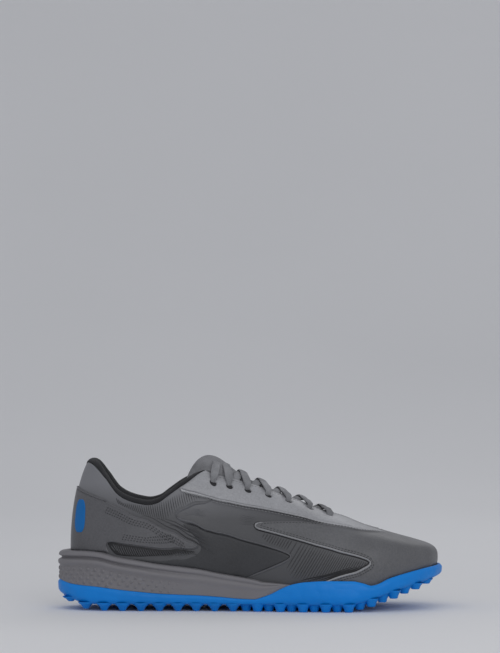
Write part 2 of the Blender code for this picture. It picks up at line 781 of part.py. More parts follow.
def build_counter(material):
    """The heel counter: a band round the heel with a tail along each side."""
    shares = between(HEEL_AXIS, COUNTER_TIP)
    sides = [fan_columns(shares, side) for side in (-1, 1)]
    heel = np.r_[COUNT - HEEL_FAN_STEPS + 1:COUNT, 0:HEEL_FAN_STEPS]
    parts = []
    for i in range(3):
        fan = (OUT, INWARD, BASE)[i][heel]
        parts.append(np.concatenate([sides[1][i][::-1], fan, sides[0][i]]))
    out = parts[0]
    turn = np.abs(np.arctan2(out[:, 1], HEEL_CENTRE[0] - out[:, 0])) / (math.pi / 2)
    share = out[:, 0] / LENGTH
    tail = share >= HEEL_AXIS - 1e-6
    start = float(table_height(COUNTER_UPPER, HEEL_AXIS))
    back = COUNTER_BACK_HEIGHT * COLLAR_HEIGHT
    upper = np.where(tail, table_height(COUNTER_UPPER, share), back + (start - back) * np.clip(turn, 0, 1) ** 1.5)
    rest = edge("lip", share) + 0.0012
    lower = np.where(share > COUNTER_REST + 0.02, table_height(COUNTER_LOWER, share), rest)
    line, length = profiles(*parts)
    band = (parts, length_at(line, length, lower), length_at(line, length, upper), {})
    return shell("heel_counter", [band], material)


def build_eyestay(side, material):
    """One side of the facing that holds the eyelets, with its tail towards the toe."""
    shares = between(EYESTAY_BACK, station(EYESTAY_STATIONS) - EYESTAY_TIP_GAP)
    columns = fan_columns(shares, side)
    line, length = profiles(*columns)
    top = top_length(line, length, columns[2])
    strip = VAMP_STRIP_HALF_WIDTH
    high = np.maximum(top, np.where(shares > THROAT_TOP, strip, 0.0)) + 0.0002
    low = length_at(line, length, table_height(EYESTAY_LOWER, shares))
    name = "eyestay_lateral" if side < 0 else "eyestay_medial"
    return shell(name, [(columns, low, high, {})], material)


def sole_rest(share):
    """Height just above the outsole's rim, which is straight between the stations."""
    half = slice(0, COUNT // 2 + 1)
    straight = np.interp(share, SHARE[half], edge("cup", SHARE[half]))
    return np.where(share < TOE_AXIS, straight, edge("cup", share)) + 0.0012


def build_vamp(material):
    """The toe overlay, with a wing along each side below the facing and above a window in the leather."""
    front = np.arange(HEEL_FAN_STEPS + MIDDLE_STEPS + 1, HEEL_FAN_STEPS + MIDDLE_STEPS + 2 * TOE_FAN_STEPS)
    last = station(EYESTAY_STATIONS)
    patches, ends = [], []
    for side in (-1, 1):
        wing = between(VAMP_BACK, WINDOW_FRONT)
        cheek = np.array([WINDOW_FRONT, last])
        lengths = []
        for shares in (wing, cheek, np.array([last, TOE_AXIS])):
            columns = fan_columns(shares, side)
            line, length = profiles(*columns)
            stay = length_at(line, length, table_height(EYESTAY_LOWER, shares)) + 0.0018
            window = length_at(line, length, table_height(VAMP_WEDGE_LOWER, shares))
            lengths.append((columns, window, stay, length_at(line, length, sole_rest(shares))))
        columns, window, stay, _ = lengths[0]
        corner = window[-1]
        patches.append((columns, window, stay, {}))
        columns, _, stay, rest = lengths[1]
        patches.append((columns, rest, stay, {0: corner}))
        ends.append((lengths[2][0], lengths[2][2][0]))
    parts = [np.concatenate([ends[0][0][i], (OUT, INWARD, BASE)[i][front], ends[1][0][i][::-1]]) for i in range(3)]
    line, length = profiles(*parts)
    rest = length_at(line, length, sole_rest(parts[0][:, 0] / LENGTH))
    pins = {0: ends[0][1], len(rest) - 1: ends[1][1]}
    patches.append((parts, rest, np.zeros(len(rest)), pins))
    return shell("vamp", patches, material)


def build_tongue(material):
    """The padded tongue under the throat; its top edge rolls back over the collar."""
    rows = np.array(TONGUE)
    shares = np.array([0.338, 0.348, 0.366, 0.386, *between(0.40, 0.700)[1:]])
    taper = smooth(rows[:, 0], rows[:, 2], shares) * TONGUE_HALF_WIDTH
    middle = smooth(rows[:, 0], rows[:, 1], shares) * COLLAR_HEIGHT
    spine = section("spine", shares) * BALL_WIDTH
    across = np.array([-1.0, -0.78, -0.5, 0.0, 0.5, 0.78, 1.0])
    count = len(across)
    top, low = [], []
    for x, y0, half, height in zip(shares * LENGTH, spine, taper, middle):
        y = y0 + across * half
        points = surface(np.full(count, x), y)
        normals = outward(np.full(count, x), y)
        crown = surface(np.array([x]), np.array([y0 + 1e-5]))[0, 2]
        lift = min(0.0, height - crown)
        sunk = UPPER_WALL + 0.0007
        bulge = (sunk - 0.0005) * np.clip(1 - (across * half / (THROAT_FRONT_GAP * 0.8)) ** 2, 0, 1)
        face = points - normals * (sunk - bulge)[:, None] + np.array([0.0, 0.0, lift])
        pad = TONGUE_THICKNESS * (1 - 0.6 * np.abs(across) ** 3) * (0.6 if x < 0.342 * LENGTH else 1.0)
        top.append(face)
        low.append(face - normals * pad[:, None])
    vertices = np.concatenate(top + low)
    steps = len(shares)
    faces = grid_faces(steps, count, closed=False)
    offset = steps * count
    faces += [tuple(offset + k for k in f[::-1]) for f in grid_faces(steps, count, closed=False)]
    for i in range(steps - 1):
        for j in (0, count - 1):
            a, b = i * count + j, (i + 1) * count + j
            faces.append((a, b, offset + b, offset + a))
    for j in range(count - 1):
        for i in (0, steps - 1):
            a, b = i * count + j, i * count + j + 1
            faces.append((a, b, offset + b, offset + a))
    return add_object("tongue", vertices, faces, material)


def build_lining(material):
    """The padded lining of the collar: a roll over the rim and a pad down the inside."""
    shares = between(HEEL_AXIS, station(LINING_STATIONS))
    sides = [fan_columns(shares, side) for side in (-1, 1)]
    heel = np.r_[COUNT - HEEL_FAN_STEPS + 1:COUNT, 0:HEEL_FAN_STEPS]
    parts = []
    for i in range(3):
        fan = (OUT, INWARD, BASE)[i][heel]
        parts.append(np.concatenate([sides[1][i][::-1], fan, sides[0][i]]))
    line, length = profiles(*parts)
    top = top_length(line, length, parts[2])
    rim = along_profile(line, length, top)
    below = along_profile(line, length, top + 0.002)
    up = (rim - below) / np.linalg.norm(rim - below, axis=1, keepdims=True)
    run = np.gradient(rim, axis=0)
    run[0], run[-1] = np.array([-1.0, 0.0, 0.0]), np.array([1.0, 0.0, 0.0])
    inward = np.cross(run, up)
    inward /= np.linalg.norm(inward, axis=1, keepdims=True)
    centre = np.column_stack([np.clip(rim[:, 0], HEEL_CENTRE[0], None), np.zeros(len(rim)), rim[:, 2]])
    inward *= np.sign(np.einsum("ij,ij->i", inward, centre - rim))[:, None]
    ends = np.clip(np.minimum(np.arange(len(rim)), np.arange(len(rim))[::-1]) / 2.0, 0.35, 1.0)
    wall = UPPER_WALL + 0.0008
    loop = [
        (-0.0007, 0.0004, 0.0),
        (-0.0024, 0.0007, 1.0),
        (-LINING_ROLL, 0.0022, 1.0),
        (-0.0024, wall + 0.6 * LINING_PAD, 1.0),
        (0.0040, wall + LINING_PAD, 1.0),
        (0.0130, wall + 0.8 * LINING_PAD, 1.0),
        (LINING_DEPTH, wall + 0.0012, 0.0),
        (LINING_DEPTH, wall, 0.0),
        (0.0120, wall, 0.0),
        (-0.0007, wall, 0.0),
    ]
    rings = []
    for down, depth, padded in loop:
        scale = ends if padded else np.ones(len(rim))
        if down < 0:
            lift = -0.0007 + (down + 0.0007) * scale
            base = rim - up * lift[:, None]
        else:
            base = along_profile(line, length, top + down)
        over = depth if depth <= wall + 0.0013 else wall + (depth - wall) * scale
        rings.append(base + inward * np.broadcast_to(over, len(rim))[:, None])
    count = len(rim)
    vertices = np.concatenate(rings)
    faces = grid_faces(len(rings) + 1, count, closed=False)
    total = len(rings) * count
    faces = [tuple(k % total for k in f) for f in faces]
    faces.append(tuple(j * count for j in range(len(rings))))
    faces.append(tuple(j * count + count - 1 for j in range(len(rings)))[::-1])
    return add_object("collar_lining", vertices, faces, material)


def eyelet_pattern(share, side):
    """Flat pattern position of an eyelet."""
    columns = fan_columns([share], side)
    line, length = profiles(*columns)
    edge_length = float(top_length(line, length, columns[2])[0])
    reach = max(edge_length, VAMP_STRIP_HALF_WIDTH) + EYELET_EDGE_DISTANCE
    return np.array([share * LENGTH, float(columns[2][0, 1]) + side * reach])


def cut_eyelets(targets):
    """Cuts the eyelet holes through the facing and the upper."""
    cutters = bmesh.new()
    for side in (-1, 1):
        for share in EYELETS:
            x, y = eyelet_pattern(share, side)
            place = surface(np.array([x]), np.array([y]))[0] - np.array([*MIDDLE, 0.0])
            normal = Vector(outward(np.array([x]), np.array([y]))[0])
            made = bmesh.ops.create_cone(
                cutters,
                cap_ends=True,
                segments=EYELET_SIDES,
                radius1=EYELET_RADIUS,
                radius2=EYELET_RADIUS,
                depth=0.010,
            )
            turn = normal.to_track_quat("Z", "X").to_matrix()
            bmesh.ops.rotate(cutters, verts=made["verts"], cent=(0, 0, 0), matrix=turn)
            bmesh.ops.translate(cutters, verts=made["verts"], vec=Vector(place))
    mesh = bpy.data.meshes.new("eyelet_holes")
    cutters.to_mesh(mesh)
    cutters.free()
    cutter = bpy.data.objects.new("eyelet_holes", mesh)
    CUTTERS.objects.link(cutter)
    cutter.hide_render = True
    cutter.display_type = "WIRE"
    for target in targets:
        cut = target.modifiers.new("eyelets", "BOOLEAN")
        cut.operation = "DIFFERENCE"
        cut.object = cutter


def strap(a, b, width, steps):
    """A flat strap between two pattern points as a polygon."""
    run = (b - a) / np.linalg.norm(b - a)
    side = np.array([-run[1], run[0]]) * width / 2
    t = np.linspace(0, 1, steps + 1)[:, None]
    line = a + (b - a) * t
    return np.concatenate([line - side, (line + side)[::-1]])


def build_laces(material):
    """The crossed lace as one flat net over the throat, clear of the facing, the tongue and the eyelets."""
    rows = []
    for share in EYELETS:
        lateral, medial = eyelet_pattern(share, -1), eyelet_pattern(share, 1)
        lateral[1] += LACE_END_DISTANCE
        medial[1] -= LACE_END_DISTANCE
        rows.append((lateral, medial))
    polygons = [strap(rows[-1][0], rows[-1][1], LACE_WIDTH, 3)]
    for k in range(len(rows) - 1):
        polygons.append(strap(rows[k + 1][0], rows[k][1], LACE_WIDTH, 3))
        polygons.append(strap(rows[k + 1][1], rows[k][0], LACE_WIDTH, 3))
    points, loops = [], []
    for polygon in polygons:
        loops.append(list(range(len(points), len(points) + len(polygon))))
        points.extend(Vector(p) for p in polygon)
    flat, _, faces, _, _, _ = geometry.delaunay_2d_cdt(points, [], loops, 1, 1e-6)
    flat = np.array([list(v) for v in flat])
    place = surface(flat[:, 0], flat[:, 1])
    normal = outward(flat[:, 0], flat[:, 1])
    lift = OVERLAY_GAP + OVERLAY_THICKNESS + 0.0012
    made = add_object("laces", place + normal * lift, faces, material)
    bm = bmesh.new()
    bm.from_mesh(made.data)
    if sum(f.normal.z for f in bm.faces) < 0:
        bmesh.ops.reverse_faces(bm, faces=bm.faces)
    bmesh.ops.dissolve_limit(bm, angle_limit=math.radians(0.5), verts=bm.verts, edges=bm.edges)
    bmesh.ops.triangulate(bm, faces=bm.faces)
    bm.to_mesh(made.data)
    bm.free()
    return solidify(made, LACE_THICKNESS, 1)


def main():
    dark = make_material("upper_grey", DARK_GREY, 0.55)
    grey = make_material("overlay_grey", GREY, 0.42)
    sole_grey = make_material("midsole_grey", SOLE_GREY, 0.6)
    blue = make_material("outsole_blue", BLUE, 0.45)
    black = make_material("lining_black", LINING_BLACK, 0.9)
    cord = make_material("lace_grey", LACE_GREY, 0.8)
    build_outsole(blue)
    build_midsole(sole_grey)
    build_insole(black)
    upper = build_upper(dark)
    build_tongue(black)
    build_lining(black)
    build_counter(grey)
    stays = [build_eyestay(side, grey) for side in (-1, 1)]
    build_vamp(grey)
    cut_eyelets([upper, *stays])
    build_laces(cord)


for old in list(bpy.data.objects):
    bpy.data.objects.remove(old)
SHOE = bpy.data.collections.new("turf_shoe")
CUTTERS = bpy.data.collections.new("cutters")
bpy.context.scene.collection.children.link(SHOE)
bpy.context.scene.collection.children.link(CUTTERS)
main()
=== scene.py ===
"""Dressed turf shoe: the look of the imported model, for a render that follows the photograph."""

import math

import bmesh
import bpy
import numpy as np
from mathutils import Matrix, Vector, geometry


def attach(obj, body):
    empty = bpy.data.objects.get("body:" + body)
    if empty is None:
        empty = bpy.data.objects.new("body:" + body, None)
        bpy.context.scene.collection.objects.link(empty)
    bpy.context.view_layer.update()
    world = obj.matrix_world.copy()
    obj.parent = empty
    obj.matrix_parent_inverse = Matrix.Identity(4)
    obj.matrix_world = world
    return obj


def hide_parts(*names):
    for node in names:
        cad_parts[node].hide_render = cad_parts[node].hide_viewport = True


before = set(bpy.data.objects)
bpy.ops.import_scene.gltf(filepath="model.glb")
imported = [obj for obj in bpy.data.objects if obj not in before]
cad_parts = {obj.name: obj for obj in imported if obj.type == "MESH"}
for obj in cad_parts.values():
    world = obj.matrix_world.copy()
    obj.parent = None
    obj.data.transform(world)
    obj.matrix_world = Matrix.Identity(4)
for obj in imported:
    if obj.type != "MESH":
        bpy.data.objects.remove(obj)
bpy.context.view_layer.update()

# Driving sizes of the shoe
LENGTH = 0.290
BALL_WIDTH = 0.102
COLLAR_HEIGHT = 0.110
SOLE_HEIGHT = 0.042
UPPER_WALL = 0.0018
OVERLAY_THICKNESS = 0.0010
OVERLAY_GAP = 0.0006

# Rocker of the sole: the curve that the stud tips touch
TOE_SPRING = 0.024
TOE_SPRING_RUN = 0.072
TOE_SPRING_POWER = 1.2
HEEL_BEVEL = 0.013
HEEL_BEVEL_RUN = 0.031
HEEL_BEVEL_POWER = 1.8

# Outsole
STUD_HEIGHT = 0.005
STUD_PITCH = 0.0137
STUD_SINK = 0.0012
PLATE_EDGE_INSET = 0.0050

# Tongue
TONGUE_HALF_WIDTH = 0.023

# The collar lining ends at this station
LINING_STATIONS = 7

# Throat and eyelets
THROAT_TOP_GAP = 0.0150
THROAT_FRONT_GAP = 0.0095
EYELET_RADIUS = 0.0024
EYELET_EDGE_DISTANCE = 0.0090

# Where the fans of heel and toe profiles turn, as shares of LENGTH
HEEL_AXIS = 0.125
TOE_AXIS = 0.862

# Stations round the shoe, and samples up each profile of the upper
HEEL_FAN_STEPS = 7
MIDDLE_STEPS = 21
TOE_FAN_STEPS = 8
PROFILE_SAMPLES = 110
TUCK_SAMPLES = 14

# Plan outline of the sole. along: share of LENGTH; lateral and medial: shares of BALL_WIDTH
PLAN_COLUMNS = ("along", "lateral", "medial")
PLAN = (
    (0.012, 0.120, 0.120),
    (0.045, 0.225, 0.225),
    (0.100, 0.305, 0.305),
    (0.180, 0.345, 0.350),
    (0.280, 0.352, 0.345),
    (0.380, 0.365, 0.318),
    (0.480, 0.398, 0.318),
    (0.580, 0.452, 0.362),
    (0.660, 0.492, 0.418),
    (0.730, 0.505, 0.462),
    (0.800, 0.480, 0.480),
    (0.860, 0.418, 0.470),
    (0.910, 0.328, 0.435),
    (0.950, 0.222, 0.375),
    (0.982, 0.090, 0.285),
)
TOE_TIP = 0.100

# Sections of the upper. along: share of LENGTH; spine: middle line, share of BALL_WIDTH;
# inset: from the sole's outline, share of BALL_WIDTH; feather, widest and crown: heights of the lower edge,
# of the widest line and of the closed top, shares of COLLAR_HEIGHT; side and top: fullness of the arch
SECTION_COLUMNS = ("along", "spine", "inset", "feather", "widest", "crown", "side", "top")
SECTIONS = (
    (0.000, 0.000, 0.104, 0.226, 0.420, 1.110, 0.00, 0.00),
    (0.040, 0.000, 0.090, 0.226, 0.420, 1.180, 0.00, 0.00),
    (0.125, 0.000, 0.062, 0.224, 0.410, 1.450, 0.00, 0.00),
    (0.220, 0.000, 0.050, 0.218, 0.392, 1.500, 0.00, 0.00),
    (0.300, 0.000, 0.043, 0.206, 0.376, 1.330, 0.00, 0.00),
    (0.345, 0.002, 0.042, 0.198, 0.366, 1.150, 0.02, 0.00),
    (0.386, 0.004, 0.041, 0.192, 0.358, 0.998, 0.04, 0.00),
    (0.460, 0.008, 0.039, 0.178, 0.340, 0.913, 0.06, 0.02),
    (0.530, 0.012, 0.038, 0.166, 0.322, 0.837, 0.08, 0.04),
    (0.580, 0.015, 0.037, 0.158, 0.308, 0.781, 0.10, 0.06),
    (0.630, 0.019, 0.036, 0.150, 0.294, 0.729, 0.12, 0.08),
    (0.680, 0.024, 0.036, 0.141, 0.284, 0.668, 0.14, 0.10),
    (0.745, 0.032, 0.036, 0.135, 0.282, 0.613, 0.18, 0.14),
    (0.790, 0.040, 0.036, 0.152, 0.288, 0.561, 0.22, 0.18),
    (0.840, 0.052, 0.036, 0.182, 0.300, 0.521, 0.28, 0.24),
    (0.890, 0.062, 0.036, 0.215, 0.318, 0.482, 0.36, 0.30),
    (0.935, 0.070, 0.038, 0.240, 0.334, 0.453, 0.42, 0.34),
    (0.966, 0.074, 0.040, 0.252, 0.338, 0.436, 0.45, 0.36),
    (1.000, 0.076, 0.041, 0.260, 0.338, 0.408, 0.45, 0.36),
)

# Rim of the collar. along: share of LENGTH; rim: height, share of COLLAR_HEIGHT
RIM_COLUMNS = ("along", "rim")
RIM = (
    (0.060, 1.000),
    (0.079, 0.998),
    (0.092, 0.985),
    (0.105, 0.957),
    (0.118, 0.918),
    (0.131, 0.878),
    (0.144, 0.830),
    (0.158, 0.786),
    (0.184, 0.746),
    (0.210, 0.725),
    (0.238, 0.714),
    (0.262, 0.728),
    (0.289, 0.777),
    (0.315, 0.826),
    (0.341, 0.871),
    (0.367, 0.923),
    (0.392, 0.960),
    (0.420, 1.100),
)
THROAT_TOP = 0.385
THROAT_END = 0.712

# Edges of the sole. cup: top of the outsole's wall; lip: top of the midsole's wall; shares of SOLE_HEIGHT
EDGE_COLUMNS = ("along", "cup", "lip")
EDGES = (
    (0.000, 0.530, 1.035),
    (0.037, 0.470, 1.045),
    (0.068, 0.450, 1.048),
    (0.103, 0.434, 1.035),
    (0.158, 0.388, 0.950),
    (0.210, 0.352, 0.892),
    (0.262, 0.318, 0.832),
    (0.315, 0.299, 0.786),
    (0.367, 0.286, 0.742),
    (0.420, 0.262, 0.670),
    (0.472, 0.232, 0.610),
    (0.508, 0.224, 0.565),
    (0.530, 0.268, 0.525),
    (0.556, 0.338, 0.508),
    (0.580, 0.425, 0.492),
    (0.604, 0.490, 0.474),
    (0.640, 0.536, 0.450),
    (0.700, 0.556, 0.440),
    (0.760, 0.552, 0.440),
    (0.790, 0.510, 0.445),
    (0.809, 0.470, 0.460),
    (0.826, 0.492, 0.490),
    (0.855, 0.582, 0.540),
    (0.890, 0.648, 0.585),
    (0.930, 0.706, 0.630),
    (0.970, 0.750, 0.670),
    (1.000, 0.768, 0.690),
)

# Half the width of the vamp's strip in front of the throat
VAMP_STRIP_HALF_WIDTH = 0.0100

# Eyelets of one side. along: share of LENGTH
EYELETS = (0.403, 0.445, 0.492, 0.545, 0.597, 0.652, 0.703)


def column(rows, names, name):
    """One named column of a table as an array."""
    return np.array([row[names.index(name)] for row in rows], float)


def smooth(knots, values, at):
    """A cubic through the knots without overshoot, held at its ends."""
    at = np.asarray(at, float)
    chord = np.diff(values) / np.diff(knots)
    slope = np.zeros(len(values))
    slope[0], slope[-1] = chord[0], chord[-1]
    before, after = chord[:-1], chord[1:]
    same_way = before * after > 0
    total = np.where(same_way, before + after, 1.0)
    slope[1:-1] = np.where(same_way, 2 * before * after / total, 0.0)
    i = np.clip(np.searchsorted(knots, at) - 1, 0, len(knots) - 2)
    step = knots[i + 1] - knots[i]
    t = np.clip((at - knots[i]) / step, 0.0, 1.0)
    start = values[i] * (1 + 2 * t) * (1 - t) ** 2 + slope[i] * step * t * (1 - t) ** 2
    end = values[i + 1] * t**2 * (3 - 2 * t) + slope[i + 1] * step * t**2 * (t - 1)
    return start + end


def read(rows, names, name, along):
    """A smooth value from one column of a table."""
    return smooth(column(rows, names, "along"), column(rows, names, name), along)


def section(name, along):
    return read(SECTIONS, SECTION_COLUMNS, name, along)


def edge(name, along):
    return SOLE_HEIGHT * read(EDGES, EDGE_COLUMNS, name, along)


def rim_height(along):
    return COLLAR_HEIGHT * read(RIM, RIM_COLUMNS, "rim", along)


def unit(ways, least=1e-12):
    """Rows of directions at length one."""
    return ways / np.maximum(np.linalg.norm(ways, axis=-1, keepdims=True), least)


def curve(a, b, c, d, t):
    """A smooth curve from b to c, which a and d steer."""
    return 0.5 * (2 * b + (c - a) * t + (2 * a - 5 * b + 4 * c - d) * t**2 + (3 * b - a - 3 * c + d) * t**3)


def rocker(x):
    """Height of the curve that the stud tips touch."""
    heel = HEEL_BEVEL * np.clip(1 - x / HEEL_BEVEL_RUN, 0, None) ** HEEL_BEVEL_POWER
    toe_start = LENGTH - TOE_SPRING_RUN
    toe = TOE_SPRING * np.clip((x - toe_start) / TOE_SPRING_RUN, 0, None) ** TOE_SPRING_POWER
    return heel + toe


def plate_bottom(x):
    """Underside of the outsole's plate: a stud's height above the rocker, less at both tips."""
    ends = np.clip(np.minimum(x / HEEL_BEVEL_RUN, (LENGTH - x) / (0.5 * TOE_SPRING_RUN)), 0, 1)
    return rocker(x) + STUD_HEIGHT * (0.25 + 0.75 * ends)


def plan_loop(steps=24):
    """The sole's outline as a dense closed loop from the heel, along the lateral side first."""
    along = column(PLAN, PLAN_COLUMNS, "along") * LENGTH
    lateral = -column(PLAN, PLAN_COLUMNS, "lateral") * BALL_WIDTH
    medial = column(PLAN, PLAN_COLUMNS, "medial") * BALL_WIDTH
    points = [(0.0, 0.0), *zip(along, lateral), (LENGTH, TOE_TIP * BALL_WIDTH)]
    points = np.array(points + list(zip(along, medial))[::-1])
    loop = []
    for i in range(len(points)):
        a, b, c, d = (points[(i + k) % len(points)] for k in (-1, 0, 1, 2))
        for t in np.arange(steps) / steps:
            loop.append(curve(a, b, c, d, t))
    return np.array(loop)


LOOP = plan_loop()
HEEL_CENTRE = np.array([HEEL_AXIS * LENGTH, 0.0])
TOE_CENTRE = np.array([TOE_AXIS * LENGTH, float(section("spine", TOE_AXIS)) * BALL_WIDTH])


def loop_normals():
    """Unit normals of the outline that point into the shoe."""
    tangent = np.roll(LOOP, -1, axis=0) - np.roll(LOOP, 1, axis=0)
    return unit(np.stack([-tangent[:, 1], tangent[:, 0]], axis=1))


NORMALS = loop_normals()


def by_key(keys, picked, at):
    """Outline points and normals where a key that rises along the picked points has the value at."""
    order = np.argsort(keys)
    found = [np.interp(at, keys[order], values[order]) for values in (*LOOP[picked].T, *NORMALS[picked].T)]
    return np.stack(found[:2], axis=-1), np.stack(found[2:], axis=-1)


def feet(x, y):
    """For points in the flat pattern, the outline point, its inward normal and the profile's start.

    The pattern lays each profile of the upper out flat in its own direction, so between the two axes
    it has the shoe's x, and beyond them it is a fan.
    """
    x, y = np.broadcast_arrays(np.asarray(x, float), np.asarray(y, float))
    heel, toe = x < HEEL_CENTRE[0], x > TOE_CENTRE[0]
    spine = section("spine", x / LENGTH) * BALL_WIDTH
    base = np.stack([x, spine], axis=-1)
    base[heel], base[toe] = HEEL_CENTRE, TOE_CENTRE
    index = np.arange(len(LOOP))
    tip = (len(PLAN) + 1) * (len(LOOP) // (2 * len(PLAN) + 2))
    out, normal = np.zeros_like(base), np.zeros_like(base)
    for side, picked in ((-1, index <= tip), (1, (index >= tip) | (index == 0))):
        chosen = ~heel & ~toe & ((y < spine) if side < 0 else (y >= spine))
        out[chosen], normal[chosen] = by_key(LOOP[picked][:, 0], picked, x[chosen])
    back = LOOP[:, 0] <= HEEL_CENTRE[0] + 0.02
    keys = np.arctan2(LOOP[back][:, 1] - HEEL_CENTRE[1], HEEL_CENTRE[0] - LOOP[back][:, 0])
    turn = np.arctan2(y[heel] - HEEL_CENTRE[1], HEEL_CENTRE[0] - x[heel])
    out[heel], normal[heel] = by_key(keys, back, turn)
    front = LOOP[:, 0] >= TOE_CENTRE[0] - 0.02
    keys = np.arctan2(LOOP[front][:, 1] - TOE_CENTRE[1], LOOP[front][:, 0] - TOE_CENTRE[0])
    turn = np.arctan2(y[toe] - TOE_CENTRE[1], x[toe] - TOE_CENTRE[0])
    out[toe], normal[toe] = by_key(keys, front, turn)
    return out, unit(normal), base


def profiles(out, normal, base):
    """Profiles of the upper's outer face, from the feather edge to the crown, and lengths from there."""
    share = out[..., 0] / LENGTH
    widest = section("widest", share) * COLLAR_HEIGHT
    feather = section("feather", share) * COLLAR_HEIGHT
    side, top = section("side", share), section("top", share)
    reach = out + normal * (section("inset", share) * BALL_WIDTH)[..., None] - base
    angle = np.linspace(0, math.pi / 2, PROFILE_SAMPLES)
    cos, sin = np.cos(angle), np.sin(angle)
    spread = cos * (1 + side[..., None] * sin**2)
    lift = sin * (1 + top[..., None] * cos**2)
    flat = base[..., None, :] + spread[..., None] * reach[..., None, :]
    heel = (base[..., 0] <= HEEL_CENTRE[0])[..., None]
    here = np.where(heel, share[..., None], flat[..., 0] / LENGTH)
    height = COLLAR_HEIGHT * section("crown", here)
    z = widest[..., None] + (height - widest[..., None]) * lift
    arch = np.concatenate([flat, z[..., None]], axis=-1)
    down = np.linspace(1, 0, TUCK_SAMPLES, endpoint=False)
    tuck = 0.05 * down**2
    flat = base[..., None, :] + (1 - tuck)[:, None] * reach[..., None, :]
    z = widest[..., None] - (widest - feather)[..., None] * down
    tucked = np.concatenate([flat, z[..., None]], axis=-1)
    line = np.concatenate([tucked, arch], axis=-2)
    steps = np.linalg.norm(np.diff(line, axis=-2), axis=-1)
    above = np.cumsum(steps[..., ::-1], axis=-1)[..., ::-1]
    return line, np.concatenate([above, np.zeros(steps.shape[:-1] + (1,))], axis=-1)


def along_profile(line, length, at):
    """Points of each profile at a length from its crown."""
    flat_line = line.reshape(-1, *line.shape[-2:])
    flat_length = length.reshape(-1, length.shape[-1])
    flat_at = np.broadcast_to(at, line.shape[:-2]).reshape(-1)
    found = np.empty((len(flat_line), 3))
    for k in range(len(flat_line)):
        for axis in range(3):
            found[k, axis] = np.interp(flat_at[k], flat_length[k][::-1], flat_line[k][::-1, axis])
    return found.reshape(*line.shape[:-2], 3)


def surface(x, y):
    """Points of the upper's outer face for points of the flat pattern."""
    out, normal, base = feet(x, y)
    line, length = profiles(out, normal, base)
    at = np.hypot(np.asarray(x) - base[..., 0], np.asarray(y) - base[..., 1])
    return along_profile(line, length, at)


def throat_gap(along):
    """Half the width of the throat, which closes in a round end."""
    t = np.clip((along - THROAT_TOP) / (THROAT_END - THROAT_TOP), 0, 1)
    gap = THROAT_TOP_GAP + (THROAT_FRONT_GAP - THROAT_TOP_GAP) * t
    return gap * np.sqrt(np.clip(1 - np.clip((t - 0.9) / 0.1, 0, 1) ** 2, 0, 1))


def top_length(line, length, base):
    """Length from the crown at which each profile ends: at the rim, the throat's edge or the crown."""
    found = np.zeros(len(line))
    for k, (points, lengths) in enumerate(zip(line, length)):
        along = points[:, 0] / LENGTH
        over = points[:, 2] - rim_height(along)
        apart = throat_gap(along) - np.linalg.norm(points[:, :2] - base[k], axis=1)
        if base[k, 0] > THROAT_END * LENGTH:
            continue
        for j in range(TUCK_SAMPLES, len(points)):
            past = max(over[j], apart[j])
            if past >= 0:
                before = max(over[j - 1], apart[j - 1])
                t = -before / (past - before)
                found[k] = lengths[j - 1] + t * (lengths[j] - lengths[j - 1])
                break
    return found


def station(number):
    """Share of LENGTH of one of the upper's stations between the two axes."""
    return HEEL_AXIS + number * (TOE_AXIS - HEEL_AXIS) / MIDDLE_STEPS


def grid_faces(rows, columns, closed=True):
    """Quads between rows of points; a closed grid joins its last column to its first."""
    faces = []
    for j in range(rows - 1):
        for i in range(columns if closed else columns - 1):
            k = (i + 1) % columns
            faces.append((j * columns + i, j * columns + k, (j + 1) * columns + k, (j + 1) * columns + i))
    return faces


# Camera; its roll is in degrees
CAMERA_DISTANCE = 2.2
CAMERA_X = 0.0027
CAMERA_HEIGHT = 0.189
AIM_DEPTH = -0.035
AIM_HEIGHT = 0.2113
CAMERA_ROLL = -0.1
VIEW_WIDTH = 0.3770

# The photograph's frame: metres in a pixel, the pixel column at the shoe's middle, the floor's row at one
# column and how it falls from there, the height of the stud tips over it, the downward look of the view and
# how far the near side stands from the middle
PIXEL = 0.00076
MIDDLE_PX = 250
FLOOR_PX = 609
FLOOR_SLOPE = 0.015
FLOOR_COLUMN_PX = 100
TIP_HEIGHT = 0.0012
VIEW_TILT = 0.061
NEAR_SIDE = 0.045

SHIFT = np.array([*(LOOP.min(axis=0) + LOOP.max(axis=0)) / 2, 0.0])

# The flat pattern as a lookup grid of places and normals
GRID_STEP = 0.00125
GRID_X = np.arange(-0.092, 0.330, GRID_STEP)
GRID_Y = np.arange(-0.165, 0.165, GRID_STEP)


def make_lookup():
    xs, ys = np.meshgrid(GRID_X, GRID_Y, indexing="ij")
    rows = [surface(xs[i : i + 16], ys[i : i + 16]) for i in range(0, len(xs), 16)]
    place = np.concatenate(rows) - SHIFT
    du, dv = np.gradient(place, axis=(0, 1))
    return place, unit(np.cross(du, dv))


PLACE, NORMAL = make_lookup()


def lookup(table, x, y):
    i = np.clip((np.asarray(x) - GRID_X[0]) / GRID_STEP, 0, len(GRID_X) - 1.001)
    j = np.clip((np.asarray(y) - GRID_Y[0]) / GRID_STEP, 0, len(GRID_Y) - 1.001)
    a, b = i.astype(int), j.astype(int)
    s, t = (i - a)[..., None], (j - b)[..., None]
    low = table[a, b] * (1 - t) + table[a, b + 1] * t
    high = table[a + 1, b] * (1 - t) + table[a + 1, b + 1] * t
    return low * (1 - s) + high * s


def on(points, lift=0.0):
    """World points over pattern points, at a height above the upper's outer face."""
    points = np.asarray(points, float)
    normal = unit(lookup(NORMAL, points[:, 0], points[:, 1]), 1e-9)
    lift = np.broadcast_to(np.asarray(lift, float), len(points))
    return lookup(PLACE, points[:, 0], points[:, 1]) + normal * lift[:, None]


